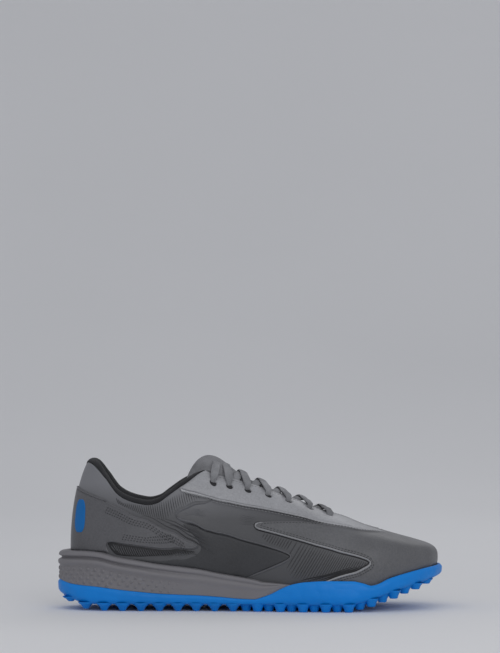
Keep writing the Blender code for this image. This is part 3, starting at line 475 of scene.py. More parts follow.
def pattern(shares, heights, side):
    """Pattern points of one side at shares of LENGTH and COLLAR_HEIGHT, between the two axes."""
    shares = np.asarray(shares, float)
    x = shares * LENGTH
    spine = section("spine", shares) * BALL_WIDTH
    out, normal, base = feet(x, spine + side * 0.001)
    line, length = profiles(out, normal, base)
    reach = [np.interp(h * COLLAR_HEIGHT, p[:, 2], q) for h, p, q in zip(heights, line, length)]
    return np.column_stack([x, spine + side * np.array(reach)])


def fan_pattern(centre, angles, heights):
    """Pattern points on the heel or toe fan at angles from the long axis and shares of COLLAR_HEIGHT."""
    at_heel = centre is HEEL_CENTRE
    way = np.column_stack([np.cos(angles) * (-1 if at_heel else 1), np.sin(angles)])
    near = centre + way * 0.001
    out, normal, base = feet(near[:, 0], near[:, 1])
    line, length = profiles(out, normal, base)
    reach = [np.interp(h * COLLAR_HEIGHT, p[:, 2], q) for h, p, q in zip(heights, line, length)]
    return centre + way * np.array(reach)[:, None]


def px(points, side):
    """Pattern points from pixels of the photograph on the near side; side 1 mirrors them to the far side."""
    points = np.asarray(points, float)
    share = (points[:, 0] - MIDDLE_PX) * PIXEL / LENGTH + 0.5
    floor = FLOOR_PX + FLOOR_SLOPE * (points[:, 0] - FLOOR_COLUMN_PX)
    height = (floor - points[:, 1]) * PIXEL
    found = pattern(share, (height - TIP_HEIGHT) / COLLAR_HEIGHT, -1)
    for _ in range(2):
        rise = VIEW_TILT * (on(found)[:, 1] + NEAR_SIDE)
        found = pattern(share, (height - rise) / COLLAR_HEIGHT, -1)
    if side > 0:
        near = on(found)[:, 2] / COLLAR_HEIGHT
        found = pattern(share, near, 1)
    return found


def spline(points, step=0.0012, closed=False):
    """A smooth line through points at an even spacing."""
    p = np.asarray(points, float)
    if closed:
        p = np.vstack([p[-1:], p, p[:2]])
    else:
        p = np.vstack([2 * p[:1] - p[1:2], p, 2 * p[-1:] - p[-2:-1]])
    fine = []
    for i in range(1, len(p) - 2):
        a, b, c, d = p[i - 1 : i + 3]
        t = np.linspace(0, 1, 13)[:-1, None]
        fine.append(curve(a, b, c, d, t))
    fine = np.vstack(fine + ([] if closed else [p[-2:-1]]))
    if closed:
        fine = np.vstack([fine, fine[:1]])
    run = np.r_[0, np.cumsum(np.linalg.norm(np.diff(fine, axis=0), axis=1))]
    count = max(3, int(run[-1] / step))
    at = np.linspace(0, run[-1], count + 1)
    if closed:
        at = at[:-1]
    return np.column_stack([np.interp(at, run, fine[:, k]) for k in range(fine.shape[1])])


def add_piece(name, vertices, faces, material, node=None, uv=None, smooth_angle=None):
    """A mesh object in the CAD frame, which rides on the shoe's one body."""
    mesh = bpy.data.meshes.new(name)
    mesh.from_pydata([tuple(v) for v in vertices], [], [tuple(int(i) for i in f) for f in faces])
    mesh.update()
    mesh.shade_smooth()
    if smooth_angle:
        mesh.set_sharp_from_angle(angle=math.radians(smooth_angle))
    if uv is not None:
        layer = mesh.uv_layers.new(name="pattern")
        index = np.empty(len(mesh.loops), int)
        mesh.loops.foreach_get("vertex_index", index)
        layer.data.foreach_set("uv", np.asarray(uv, float)[index].reshape(-1))
    mesh.materials.append(material)
    piece = bpy.data.objects.new(name, mesh)
    bpy.context.scene.collection.objects.link(piece)
    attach(piece, "root")
    if node:
        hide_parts(node)
    return piece


def inside(points, polygon):
    """Which points lie inside a closed polygon."""
    x, y = points[:, 0], points[:, 1]
    hit = np.zeros(len(points), bool)
    for (x1, y1), (x2, y2) in zip(polygon, np.roll(polygon, -1, axis=0)):
        if y1 == y2:
            continue
        cross = ((y1 > y) != (y2 > y)) & (x < (x2 - x1) * (y - y1) / (y2 - y1) + x1)
        hit ^= cross
    return hit


def distance(points, polygon):
    """Distance of points to the edges of a closed polygon."""
    best = np.full(len(points), 1e9)
    for a, b in zip(polygon, np.roll(polygon, -1, axis=0)):
        run = b - a
        t = np.clip(((points - a) @ run) / max(run @ run, 1e-18), 0, 1)
        best = np.minimum(best, np.linalg.norm(points - a - t[:, None] * run, axis=1))
    return best


def sideways(ways):
    """Directions in the flat pattern, turned a quarter turn."""
    return np.column_stack([-ways[:, 1], ways[:, 0]])


def panel(name, outline, material, thick, radius, step, base=0.0, holes=(), node=None, form=None):
    """An overlay with rounded edges, from its outline in the flat pattern."""
    outline = np.asarray(outline)
    run = np.roll(outline, -1, axis=0) - np.roll(outline, 1, axis=0)
    normal = unit(sideways(run))
    if not inside(outline[:1] + normal[:1] * 1e-4, outline)[0]:
        normal = -normal
    loops = [outline, *holes]
    extra = []
    for share in (0.12, 0.45, 1.0):
        near = outline + normal * radius * share
        extra.append(near)
        for hole in holes:
            middle = hole.mean(axis=0)
            extra.append(middle + (hole - middle) * (1 + share * 0.35))
    low, high = outline.min(axis=0), outline.max(axis=0)
    ranges = [np.arange(low[axis], high[axis], step) for axis in (0, 1)]
    xs, ys = np.meshgrid(*ranges, indexing="ij")
    xs = xs + (np.arange(xs.shape[1]) % 2) * step / 2
    extra.append(np.column_stack([xs.ravel(), ys.ravel()]))
    extra = np.vstack(extra)
    extra = extra[inside(extra, outline)]
    keep = distance(extra, outline) > radius * 0.08
    for hole in holes:
        keep &= ~inside(extra, hole)
        keep &= distance(extra, hole) > 0.0001
    extra = extra[keep]
    points = [Vector(p) for p in np.vstack([*loops, extra])]
    edges, start = [], 0
    for loop in loops:
        edges += [(start + i, start + (i + 1) % len(loop)) for i in range(len(loop))]
        start += len(loop)
    flat, _, faces, _, _, _ = geometry.delaunay_2d_cdt(points, edges, [], 1, 1e-7)
    flat = np.array([list(v) for v in flat])
    corner = np.array([flat[list(f)].mean(axis=0) for f in faces])
    keep = inside(corner, outline)
    for hole in holes:
        keep &= ~inside(corner, hole)
    faces = [f for f, k in zip(faces, keep) if k]
    gap = distance(flat, outline)
    for hole in holes:
        gap = np.minimum(gap, distance(flat, hole))
    rise = np.sqrt(np.clip(1 - (1 - np.minimum(gap / radius, 1)) ** 2, 0, 1))
    lift = base - 0.0004 + (thick + 0.0004) * rise
    if form:
        lift = lift + form(flat, gap)
    return add_piece(name, on(flat, lift), faces, material, node, uv=flat * 100)


def ridges(name, lines, material, width, height, base=0.0, taper=0.0, sink=0.0002):
    """Raised lines over the upper, joined in one mesh."""
    vertices, faces, uvs = [], [], []
    turn = np.array([0.0, 0.28, 0.5, 0.72, 1.0])
    start = 0
    for line in lines:
        line = np.asarray(line, float)
        side = sideways(unit(np.gradient(line, axis=0)))
        ends = np.ones(len(line))
        if taper:
            t = np.linspace(0, 1, len(line))
            ends = np.clip(np.minimum(t, 1 - t) / taper, 0.02, 1) ** 0.5
        for t in turn:
            flat = line + side * ((t - 0.5) * width * ends)[:, None]
            vertices.append(on(flat, base - sink + (height + sink) * math.sin(math.pi * t) * ends))
            uvs.append(flat * 100)
        count = len(line)
        faces += [[start + k for k in f] for f in grid_faces(len(turn), count, closed=False)]
        start += len(turn) * count
    return add_piece(name, np.vstack(vertices), faces, material, uv=np.vstack(uvs))


# Sections of a stitch across and along it: share of its width or length, and height or swell
STITCH_ACROSS = ((-0.5, 0.0), (-0.3, 0.8), (0.0, 1.0), (0.3, 0.8), (0.5, 0.0))
STITCH_ALONG = ((-0.5, 0.0), (-0.32, 1.0), (0.0, 1.25), (0.32, 1.0), (0.5, 0.0))


def stitches(name, lines, material, base, pitch=0.0024, length=0.0018, width=0.00055):
    """Rows of stitches over the upper, joined in one mesh."""
    vertices, faces, start = [], [], 0
    for line in lines:
        line = spline(line, pitch)
        mids = (line[1:] + line[:-1]) / 2
        runs = unit(line[1:] - line[:-1])
        sides = sideways(runs)
        for share, raised in STITCH_ACROSS:
            for along, swell in STITCH_ALONG:
                wide = share * width * (0.45 if swell == 0 else 1.0)
                flat = mids + runs * along * length + sides * wide
                lift = base - 0.00012 + width * 0.62 * raised * min(swell, 1.0)
                vertices.append(on(flat, lift))
        count = len(mids)
        for corners in grid_faces(len(STITCH_ACROSS), len(STITCH_ALONG), closed=False):
            faces += [[start + k * count + n for k in corners] for n in range(count)]
        start += len(STITCH_ACROSS) * len(STITCH_ALONG) * count
    return add_piece(name, np.vstack(vertices), faces, material)


# Materials
class Nodes:
    """A small helper that builds one material's node tree."""

    def __init__(self, name, roughness, coat=0.0, sheen=0.0, specular=0.5):
        self.material = bpy.data.materials.new(name)
        self.material.use_nodes = True
        self.tree = self.material.node_tree
        self.shader = self.tree.nodes["Principled BSDF"]
        self.shader.inputs["Roughness"].default_value = roughness
        self.shader.inputs["Coat Weight"].default_value = coat
        self.shader.inputs["Coat Roughness"].default_value = 0.3
        self.shader.inputs["Sheen Weight"].default_value = sheen
        self.shader.inputs["Specular IOR Level"].default_value = specular
        self.height = None

    def node(self, kind, values=(), **settings):
        made = self.tree.nodes.new(kind)
        for key, value in settings.items():
            setattr(made, key, value)
        for key, value in dict(values).items():
            self.put(made.inputs[key], value)
        return made

    def put(self, socket, value):
        if isinstance(value, bpy.types.NodeSocket):
            self.tree.links.new(value, socket)
        else:
            socket.default_value = value

    def math(self, operation, a, b=0.0):
        return self.node("ShaderNodeMath", {0: a, 1: b}, operation=operation).outputs[0]

    def noise(self, scale, detail=3.0, stretch=(1, 1, 1)):
        where = self.node("ShaderNodeTexCoord").outputs["Object"]
        where = self.node("ShaderNodeMapping", {"Vector": where, "Scale": stretch}).outputs[0]
        made = self.node("ShaderNodeTexNoise", {"Vector": where, "Scale": scale, "Detail": detail})
        return made.outputs["Fac"]

    def pores(self, scale):
        where = self.node("ShaderNodeTexCoord").outputs["Object"]
        made = self.node("ShaderNodeTexVoronoi", {"Vector": where, "Scale": scale}, feature="F1")
        return made.outputs["Distance"]

    def uv(self):
        made = self.node("ShaderNodeUVMap", uv_map="pattern")
        return self.node("ShaderNodeSeparateXYZ", {0: made.outputs[0]})

    def colour(self, factor, stops):
        ramp = self.node("ShaderNodeValToRGB", {"Fac": factor})
        band = ramp.color_ramp
        while len(band.elements) < len(stops):
            band.elements.new(0.5)
        for element, (place, shade) in zip(band.elements, stops):
            element.position = place
            element.color = (*shade, 1.0)
        self.put(self.shader.inputs["Base Color"], ramp.outputs["Color"])
        return ramp.outputs["Color"]

    def rough(self, factor, low, high):
        spread = self.node("ShaderNodeMapRange", {"Value": factor, "To Min": low, "To Max": high})
        self.put(self.shader.inputs["Roughness"], spread.outputs[0])

    def bump(self, height, strength, depth):
        made = self.node("ShaderNodeBump", {"Height": height, "Strength": strength, "Distance": depth})
        if self.height is not None:
            self.put(made.inputs["Normal"], self.height)
        self.height = made.outputs[0]
        self.put(self.shader.inputs["Normal"], self.height)


def scaled(shade, factor):
    return tuple(c * factor for c in shade)


def leather(name, shade, roughness=0.4, grain=0.5, coat=0.0, top=1.0):
    """Smooth synthetic leather with a fine grain and faint creases; top paints light on it, lightening the
    colour towards the collar as a painted highlight.
    """
    m = Nodes(name, roughness, coat=coat, specular=0.45)
    broad, fine = m.math("MULTIPLY", m.noise(26.0, 4.0), 0.5), m.math("MULTIPLY", m.noise(800.0, 2.0), 0.5)
    cloud = m.math("ADD", broad, fine)
    if top == 1.0:
        m.colour(cloud, ((0.30, scaled(shade, 0.78)), (0.50, shade), (0.72, scaled(shade, 1.22))))
    else:
        # Painted light: the colour lightens with height, from z 0.068 to 0.098, in place of the light on the
        # collar's upper flank.
        where = m.node("ShaderNodeTexCoord").outputs["Object"]
        high = m.node("ShaderNodeSeparateXYZ", {0: where}).outputs[2]
        high = m.node("ShaderNodeMapRange", {"Value": high, "From Min": 0.068, "From Max": 0.098}).outputs[0]
        mixed = m.math("ADD", high, m.math("MULTIPLY", cloud, 0.2))
        m.colour(mixed, ((0.10, scaled(shade, 0.8)), (1.1, scaled(shade, top))))
    m.rough(m.noise(70.0, 5.0), roughness - 0.07, roughness + 0.09)
    m.bump(m.noise(900.0, 3.0), 0.25 * grain, 0.0002)
    m.bump(m.pores(1500.0), 0.35 * grain, 0.00012)
    m.bump(m.noise(60.0, 3.0, stretch=(1, 1, 2.5)), 0.25 * grain, 0.0009)
    return m.material


def textile(name, shade, pitch=0.0011, roughness=0.95, sheen=0.25):
    """Knitted or woven cloth with its threads in the flat pattern's two directions."""
    m = Nodes(name, roughness, sheen=sheen, specular=0.2)
    turn = 2 * math.pi / (pitch * 100)
    at = m.uv()
    warp = m.math("SINE", m.math("MULTIPLY", at.outputs[0], turn))
    weft = m.math("SINE", m.math("MULTIPLY", at.outputs[1], turn))
    weave = m.math("MULTIPLY", warp, weft)
    cloud = m.noise(60.0, 3.0)
    mixed = m.math("ADD", m.math("MULTIPLY", weave, 0.22), cloud)
    m.colour(mixed, ((0.25, scaled(shade, 0.6)), (0.5, shade), (0.8, scaled(shade, 1.5))))
    m.bump(weave, 0.6, 0.0003)
    m.bump(m.noise(2500.0, 2.0), 0.4, 0.0001)
    return m.material


def rubber(name, shade, roughness, speckle=0.3, coat=0.0, specular=0.5, lumps=0.0):
    """Moulded rubber or foam with a fine mould texture."""
    m = Nodes(name, roughness, coat=coat, specular=specular)
    cloud = m.noise(18.0, 4.0)
    m.colour(cloud, ((0.25, scaled(shade, 0.9)), (0.55, shade), (0.85, scaled(shade, 1.1))))
    m.rough(m.noise(50.0, 5.0), roughness - 0.06, roughness + 0.08)
    m.bump(m.noise(1400.0, 3.0), speckle, 0.00015)
    m.bump(m.noise(90.0, 3.0), 0.15, 0.0005)
    if lumps:
        m.bump(m.pores(115.0), lumps, -0.0012)
    return m.material


# These two leathers lighten towards the collar (top=2.1): painted light, not a change in the leather's colour.
QUARTER = leather("quarter_grey_painted_collar_light", (0.092, 0.093, 0.100), 0.42, 0.7, top=2.1)
QUARTER_RIB = leather("quarter_rib_grey_painted_collar_light", (0.105, 0.106, 0.114), 0.40, 0.5, top=2.1)
LOWER = leather("quarter_lower_grey", (0.036, 0.037, 0.041), 0.40, 0.6)
# Dark colour for the moulded ribs and lines, the vamp's stitches and the counter's dots: painted shade of
# grooves and holes.
GROOVE_SHADE = leather("groove_painted_shade", (0.040, 0.040, 0.044), 0.5, 0.5)
SLOT_RIB = leather("slot_rib_grey", (0.078, 0.079, 0.085), 0.42, 0.5)
# Near-black for the slots, grooves, deep lines and eyelet holes: painted shade in recesses.
RECESS_SHADE = leather("recess_painted_shade", (0.014, 0.014, 0.016), 0.6, 0.6)
COUNTER = leather("counter_grey", (0.100, 0.100, 0.108), 0.36, 0.5, 0.05)
STAY = leather("eyestay_grey", (0.330, 0.332, 0.348), 0.38, 0.7)
VAMP = leather("vamp_grey", (0.118, 0.119, 0.126), 0.42, 0.8)
# Lighter colour of the vamp's raised rim: a painted highlight on its rolled edge.
VAMP_RIM_HIGHLIGHT = leather("vamp_rim_painted_highlight", (0.300, 0.302, 0.316), 0.36, 0.5)
# Lighter colour of the eyestay's raised rim: a painted highlight on its rounded edge.
STAY_RIM_HIGHLIGHT = leather("eyestay_rim_painted_highlight", (0.400, 0.402, 0.418), 0.36, 0.5)
WING = leather("wing_grey", (0.095, 0.096, 0.104), 0.38, 0.5)
MID = rubber("midsole_grey_foam", (0.180, 0.174, 0.186), 0.5, 0.5)
BLUE_RUBBER = rubber("outsole_blue_rubber", (0.000, 0.215, 0.690), 0.42, 0.25, specular=0.3, lumps=0.5)
LINING = textile("lining_dark_cloth", (0.034, 0.034, 0.037), sheen=0.1)
LACE = textile("lace_grey_weave", (0.250, 0.252, 0.264), 0.0009, 0.85, 0.1)
THREAD = leather("stitch_thread", (0.200, 0.201, 0.210), 0.6, 0.4)

# Sole
DENSE = 4


def dense_ring():
    """The part's stations, with others between them."""
    heel = np.linspace(0, math.pi / 2, HEEL_FAN_STEPS * DENSE, endpoint=False)
    middle = np.linspace(HEEL_CENTRE[0], TOE_CENTRE[0], MIDDLE_STEPS * DENSE + 1)
    toe = np.linspace(-math.pi / 2, math.pi / 2, 2 * TOE_FAN_STEPS * DENSE + 1)[1:-1]
    spine = section("spine", middle / LENGTH) * BALL_WIDTH
    small = 0.001
    back = [(HEEL_CENTRE[0] - small * math.cos(a), -small * math.sin(a)) for a in heel]
    front = [(TOE_CENTRE[0] + small * math.cos(a), TOE_CENTRE[1] + small * math.sin(a)) for a in toe]
    points = back + list(zip(middle, spine - small)) + front + list(zip(middle, spine + small))[::-1]
    points += [(x, -y) for x, y in back[:0:-1]]
    points = np.array(points)
    return feet(points[:, 0], points[:, 1])


OUT, INWARD, BASE = dense_ring()
COUNT = len(OUT)
SHARE = OUT[:, 0] / LENGTH
ARC = np.r_[0, np.cumsum(np.linalg.norm(np.diff(OUT, axis=0), axis=1))]


def level(inset, height):
    """A ring inside the sole's outline at a height."""
    flat = OUT + INWARD * np.broadcast_to(inset, COUNT)[:, None]
    return np.column_stack([flat, np.broadcast_to(height, COUNT)]) - SHIFT


def ladder(start, count, flip=False):
    """Faces that close a ring, from side to side."""
    faces = []
    for i in range(count // 2):
        corners = list(dict.fromkeys([i, i + 1, (count - i - 1) % count, (count - i) % count]))
        if len(corners) > 2:
            faces.append([start + k for k in (corners[::-1] if flip else corners)])
    return faces


def loft(name, rings, material, node=None):
    """A closed solid through rings, one over the other."""
    vertices = np.concatenate(rings)
    faces = grid_faces(len(rings), COUNT)
    faces += ladder(0, COUNT, True) + ladder((len(rings) - 1) * COUNT, COUNT)
    uv = np.concatenate([np.column_stack([ARC, np.full(COUNT, j * 0.002)]) for j in range(len(rings))]) * 100
    return add_piece(name, vertices, faces, material, node, uv=uv, smooth_angle=50)


CUP, LIP = edge("cup", SHARE), edge("lip", SHARE)


def make_outsole():
    """The rubber plate with its round edge and the cup's wall."""
    plate = plate_bottom(level(PLATE_EDGE_INSET, 0.0)[:, 0] + SHIFT[0])
    tall = CUP - plate
    rim = np.clip(tall / 0.008, 0.3, 1.0)
    rings = [level(PLATE_EDGE_INSET, plate)]
    for t in np.linspace(0.15, 1, 5):
        turn = t * math.pi / 2
        inset = PLATE_EDGE_INSET * (1 - math.sin(turn)) + 0.0002
        rings.append(level(inset, plate + 0.42 * tall * (1 - math.cos(turn))))
    rings += [
        level(0.0001, plate + 0.62 * tall),
        level(0.0000, CUP - 0.0022 * rim),
        level(0.0002, CUP - 0.0017 * rim),
        level(0.0009, CUP - 0.0009 * rim),
        level(0.0011, CUP - 0.0004 * rim),
        level(0.0016, CUP),
        level(0.0024, CUP),
        level(0.0030, CUP - 0.0004),
        level(0.0031, CUP - 0.0030),
    ]
    return loft("outsole_blue", rings, BLUE_RUBBER, "outsole")


# Studs of the level rows behind and of the staggered rows in front
STUD_ROWS_BEHIND = (0.0105, *(0.0225 + STUD_PITCH * k for k in range(9)))
STUD_ROWS_AHEAD = tuple(np.arange(STUD_ROWS_BEHIND[-1] + 0.0098, 0.972 * LENGTH, 0.0084))
STUD_GAP_BEHIND = 0.0150
STUD_GAP_AHEAD = 0.0135
STUD_INSET = 0.0064
STUD_INSET_STAGGERED = 0.0105
STUD_TIP_BEHIND, STUD_ROOT_BEHIND = 0.0022, 0.0056
STUD_TIP_AHEAD, STUD_ROOT_AHEAD = 0.0031, 0.0050


def tread():
    """Places of the tread's studs, with their tip and root radii."""
    places = []
    low, high = LOOP[LOOP[:, 1] < TOE_TIP * BALL_WIDTH], LOOP[LOOP[:, 1] >= 0]
    for row, x in enumerate(STUD_ROWS_BEHIND + STUD_ROWS_AHEAD):
        behind = x in STUD_ROWS_BEHIND
        inset = STUD_INSET if behind or row % 2 else STUD_INSET_STAGGERED
        radii = (STUD_TIP_BEHIND, STUD_ROOT_BEHIND) if behind else (STUD_TIP_AHEAD, STUD_ROOT_AHEAD)
        first = float(np.interp(x, *side_line(low, np.min))) + inset
        last = float(np.interp(x, *side_line(high, np.max))) - inset
        count = max(1, round((last - first) / (STUD_GAP_BEHIND if behind else STUD_GAP_AHEAD)))
        places += [(x, float(y), *radii) for y in np.linspace(first, last, count + 1)]
    return places


def side_line(points, pick):
    """One side of the outline as x and y, for reading between its points."""
    bins = np.round(points[:, 0], 3)
    keys = np.unique(bins)
    return keys, np.array([pick(points[bins == key, 1]) for key in keys])


def make_studs():
    """Studs with rounded tips and a fillet where they leave the plate."""
    vertices, faces, start = [], [], 0
    sides = 18
    turn = np.linspace(0, 2 * math.pi, sides, endpoint=False)
    for x, y, tip_radius, root_radius in tread():
        tip, root = float(rocker(x)), float(plate_bottom(x)) + STUD_SINK
        tall = root - tip
        between = 0.55 * tip_radius + 0.45 * root_radius
        rows = (
            (0.0, tip_radius * 0.45, 0.0004),
            (0.0, tip_radius * 0.55, 0.0),
            (0.0, tip_radius - 0.0004, 0.0),
            (0.06, tip_radius, 0.0),
            (0.50, between, 0.0),
            (0.68, root_radius * 0.92, 0.0),
            (0.82, root_radius * 1.05, 0.0),
            (1.0, root_radius * 1.12, 0.0),
        )
        for share, radius, dent in rows:
            ring = np.column_stack([x + radius * np.cos(turn), y + radius * np.sin(turn), np.zeros(sides)])
            ring[:, 2] = tip + tall * share + dent
            vertices.append(ring - SHIFT)
        faces += [[start + k for k in f] for f in grid_faces(len(rows), sides)]
        faces.append([start + k for k in range(sides)][::-1])
        start += sides * len(rows)
    return add_piece("outsole_studs", np.vstack(vertices), faces, BLUE_RUBBER, smooth_angle=60)


def foot_line(height):
    """Plan points of the upper's outer face at a height for each station."""
    line, _ = profiles(OUT, INWARD, BASE)
    return np.column_stack([[np.interp(h, p[:, 2], p[:, k]) for h, p in zip(height, line)] for k in range(3)])


# Section of the midsole's wall: distance below its lip and inset from the sole's outline
MID_PROFILE = (
    (0.000, 0.0030),
    (0.0005, 0.0019),
    (0.0013, 0.0011),
    (0.0024, 0.0006),
    (0.0031, 0.0006),
    (0.0036, 0.0012),
    (0.0041, 0.0026),
    (0.0049, 0.0029),
    (0.0056, 0.0022),
    (0.0064, 0.0005),
    (0.0076, 0.0000),
    (0.0092, 0.0002),
    (0.0104, 0.0012),
    (0.0130, 0.0011),
)


def make_midsole():
    """The foam wall with its lip, groove and ridge, which fade towards the toe."""
    shown = np.clip(LIP - CUP, 0, None)
    squeeze = np.clip(shown / 0.0200, 0.05, 1.0)
    out = np.clip((shown - 0.0015) / 0.006, 0, 1)
    hidden = 0.0034
    feather = section("feather", SHARE) * COLLAR_HEIGHT
    rings = [level(hidden, np.minimum(CUP - 0.0015, LIP - 0.0014))]
    rings.append(level(hidden + (0.0010 - hidden) * out, np.minimum(CUP + 0.0002, LIP - 0.0012)))
    relief = 0.25 + 0.75 * np.clip((0.42 - SHARE) / 0.30, 0.0, 1.0)
    for drop, inset in MID_PROFILE[::-1]:
        height = np.maximum(LIP - drop * squeeze, np.minimum(CUP + 0.0004, LIP - 0.0010))
        own = 0.0006 + (inset - 0.0006) * relief if 0 < drop else inset
        rings.append(level(hidden + (own - hidden) * out, height))
    seat = foot_line(LIP)
    top = seat[:, :2] + INWARD * 0.0004
    rings.append(np.column_stack([top, LIP + 0.0002]) - SHIFT)
    low = foot_line(feather)
    rings.append(np.column_stack([low[:, :2] + INWARD * 0.0008, feather - 0.0003]) - SHIFT)
    return loft("midsole_wall", rings, MID, "midsole")


# Dots of the midsole: rows, pitch along a row, distance of the first row from the lip and between rows,
# corners of a dot, and the height and radius of its rings
DOT_ROWS = 4
DOT_PITCH = 0.0062
DOT_TOP = 0.0116
DOT_ROW_PITCH = 0.0032
DOT_SIDES = 10
DOT_RINGS = ((-0.0003, 0.0017), (0.0002, 0.0015), (0.00055, 0.0010), (0.0007, 0.0002))


def make_dots():
    """The raised dots of the midsole's heel, in staggered rows."""
    vertices, faces, start = [], [], 0
    turn = np.linspace(0, 2 * math.pi, DOT_SIDES, endpoint=False)
    for side in (-1, 1):
        picked = np.nonzero((SHARE < 0.40) & (np.sign(OUT[:, 1]) == side))[0]
        order = picked[np.argsort(SHARE[picked])]
        run = np.r_[0, np.cumsum(np.linalg.norm(np.diff(OUT[order], axis=0), axis=1))]
        for row in range(DOT_ROWS):
            for step in range(int(run[-1] / DOT_PITCH)):
                at = (step + 0.5 * (row % 2)) * DOT_PITCH
                share = np.interp(at, run, SHARE[order])
                room = float(edge("lip", share) - edge("cup", share)) - 0.0118
                drop = DOT_TOP + (row + 0.45) * DOT_ROW_PITCH
                fade = float(np.clip((0.34 - share) / 0.20, 0, 1))
                if drop > DOT_TOP + room - 0.0010 or fade < 0.08:
                    continue
                place = np.array([np.interp(at, run, OUT[order][:, k]) for k in (0, 1)])
                inward = np.array([np.interp(at, run, INWARD[order][:, k]) for k in (0, 1)])
                inward /= np.linalg.norm(inward)
                along = np.array([-inward[1], inward[0]])
                z = float(edge("lip", share)) - drop
                for rise, radius in DOT_RINGS:
                    flat = place + inward * (0.0011 - rise * (0.4 + 0.6 * fade))
                    radius *= 0.7 + 0.3 * fade
                    ring = flat + along * (radius * np.cos(turn))[:, None]
                    vertices.append(np.column_stack([ring, z + radius * np.sin(turn)]) - SHIFT)
                faces += [[start + k for k in f] for f in grid_faces(len(DOT_RINGS), DOT_SIDES)]
                start += len(DOT_RINGS) * DOT_SIDES
    return add_piece("midsole_dots", np.vstack(vertices), faces, MID)


make_outsole()
make_studs()
make_midsole()
make_dots()


# Upper
def skin_rows(count):
    """Rows of pattern points from the feather edge to where each profile ends."""
    line, length = profiles(OUT, INWARD, BASE)
    top = top_length(line, length, BASE)
    way = unit(OUT - BASE)
    rows = []
    for j in range(count + 1):
        at = length[:, 0] + (np.where(top > 0, top, 0.0) - length[:, 0]) * (j / count)
        rows.append(BASE + way * at[:, None])
    return rows


def make_upper():
    """The hollow upper, one wall thick."""
    rows = skin_rows(64)
    flat = np.concatenate(rows)
    wall = add_piece("upper_shell", on(flat), grid_faces(len(rows), COUNT), QUARTER, "upper", uv=flat * 100)
    inner = wall.modifiers.new("wall", "SOLIDIFY")
    inner.thickness = UPPER_WALL
    inner.offset = -1
    tidy = bmesh.new()
    tidy.from_mesh(wall.data)
    bmesh.ops.remove_doubles(tidy, verts=tidy.verts, dist=1e-6)
    tidy.normal_update()
    low = min(tidy.faces, key=lambda f: f.calc_center_median().y)
    if low.normal.y > 0:
        bmesh.ops.reverse_faces(tidy, faces=tidy.faces)
    tidy.to_mesh(wall.data)
    tidy.free()
    wall.data.shade_smooth()
    return wall


make_upper()


# Overlays
def rim_line(first, last, side, down=0.0, count=40):
    """Pattern points at a distance below the collar's rim and the throat's edge."""
    shares = np.linspace(first, last, count)
    x = shares * LENGTH
    spine = section("spine", shares) * BALL_WIDTH
    out, normal, base = feet(x, spine + side * 0.001)
    line, length = profiles(out, normal, base)
    top = top_length(line, length, base)
    return np.column_stack([x, spine + side * (top + down)])


def strip_line(points, side):
    """Pattern points at shares of LENGTH and distances from the middle line."""
    shares, gap = np.array(points, float).T
    return np.column_stack([shares * LENGTH, section("spine", shares) * BALL_WIDTH + side * gap])


def heel_line(heights, first=-90, last=90, count=40):
    """Pattern points round the heel; heights is a function of the share of the turn from the back."""
    angles = np.radians(np.linspace(first, last, count))
    return fan_pattern(HEEL_CENTRE, angles, heights(np.abs(angles) / (math.pi / 2)))


def rest_line(first, last, name, side, drop, count=60):
    """Pattern points along the sole's edge between two shares of LENGTH."""
    shares = np.linspace(first, last, count)
    return pattern(shares, (edge(name, shares) - drop) / COLLAR_HEIGHT, side)


def moved(line, offset):
    """A line moved sideways in the pattern."""
    return line + sideways(unit(np.gradient(np.asarray(line, float), axis=0))) * offset


def cut(line, first, last):
    """Part of a line, between two shares of its points."""
    count = len(line)
    return line[int(first * count) : int(last * count)]


def thinned(outline, gap):
    """An outline without the points that lie too near to the ones before."""
    return outline[np.r_[True, np.linalg.norm(np.diff(outline, axis=0), axis=1) > gap]]


def side_name(side):
    return "lateral" if side < 0 else "medial"


def spread(lines, step):
    """Photo points of one line of a fan; each row holds a first place and the change per step."""
    return [(x + run * step, y + rise * step) for x, run, y, rise in lines]


def row_px(table, x):
    """The photo's pixel row at a column, between the points of a table."""
    return np.interp(x, *np.array(table, float).T)


# Photo points of the heel counter, its slot and the slot's ribs, whose table gives each rib's length
COUNTER_TOP_PX = [(108, 500.5), (120, 506), (140, 516), (160, 525), (180, 534), (195, 542)]
COUNTER_TIP_PX = [(198.5, 546.5)]
COUNTER_LOW_PX = [(192, 549.5), (170, 548.5), (150, 546.5), (130, 543.5), (114, 541)]
COUNTER_CORNER_PX = [(108.5, 541.5), (108.0, 545.0), (111.0, 551.0)]
SLOT_PX = [(108.5, 542.0), (114, 540.6), (130, 543.6), (150, 546.6), (170, 548.6), (192, 549.6), (196, 552.0),
           (186, 553.6), (170, 554.8), (150, 555.4), (135, 555.2), (121, 554.0), (114, 550.5)]
SLOT_RIB_TOP_PX = [(112, 543.5), (114, 542.0), (130, 544.6), (150, 547.6), (170, 549.6), (192, 550.5)]
SLOT_RIB_TALL_PX = [(112, 6.0), (118, 11.0), (135, 10.0), (150, 8.5), (175, 6.0), (192, 3.5)]


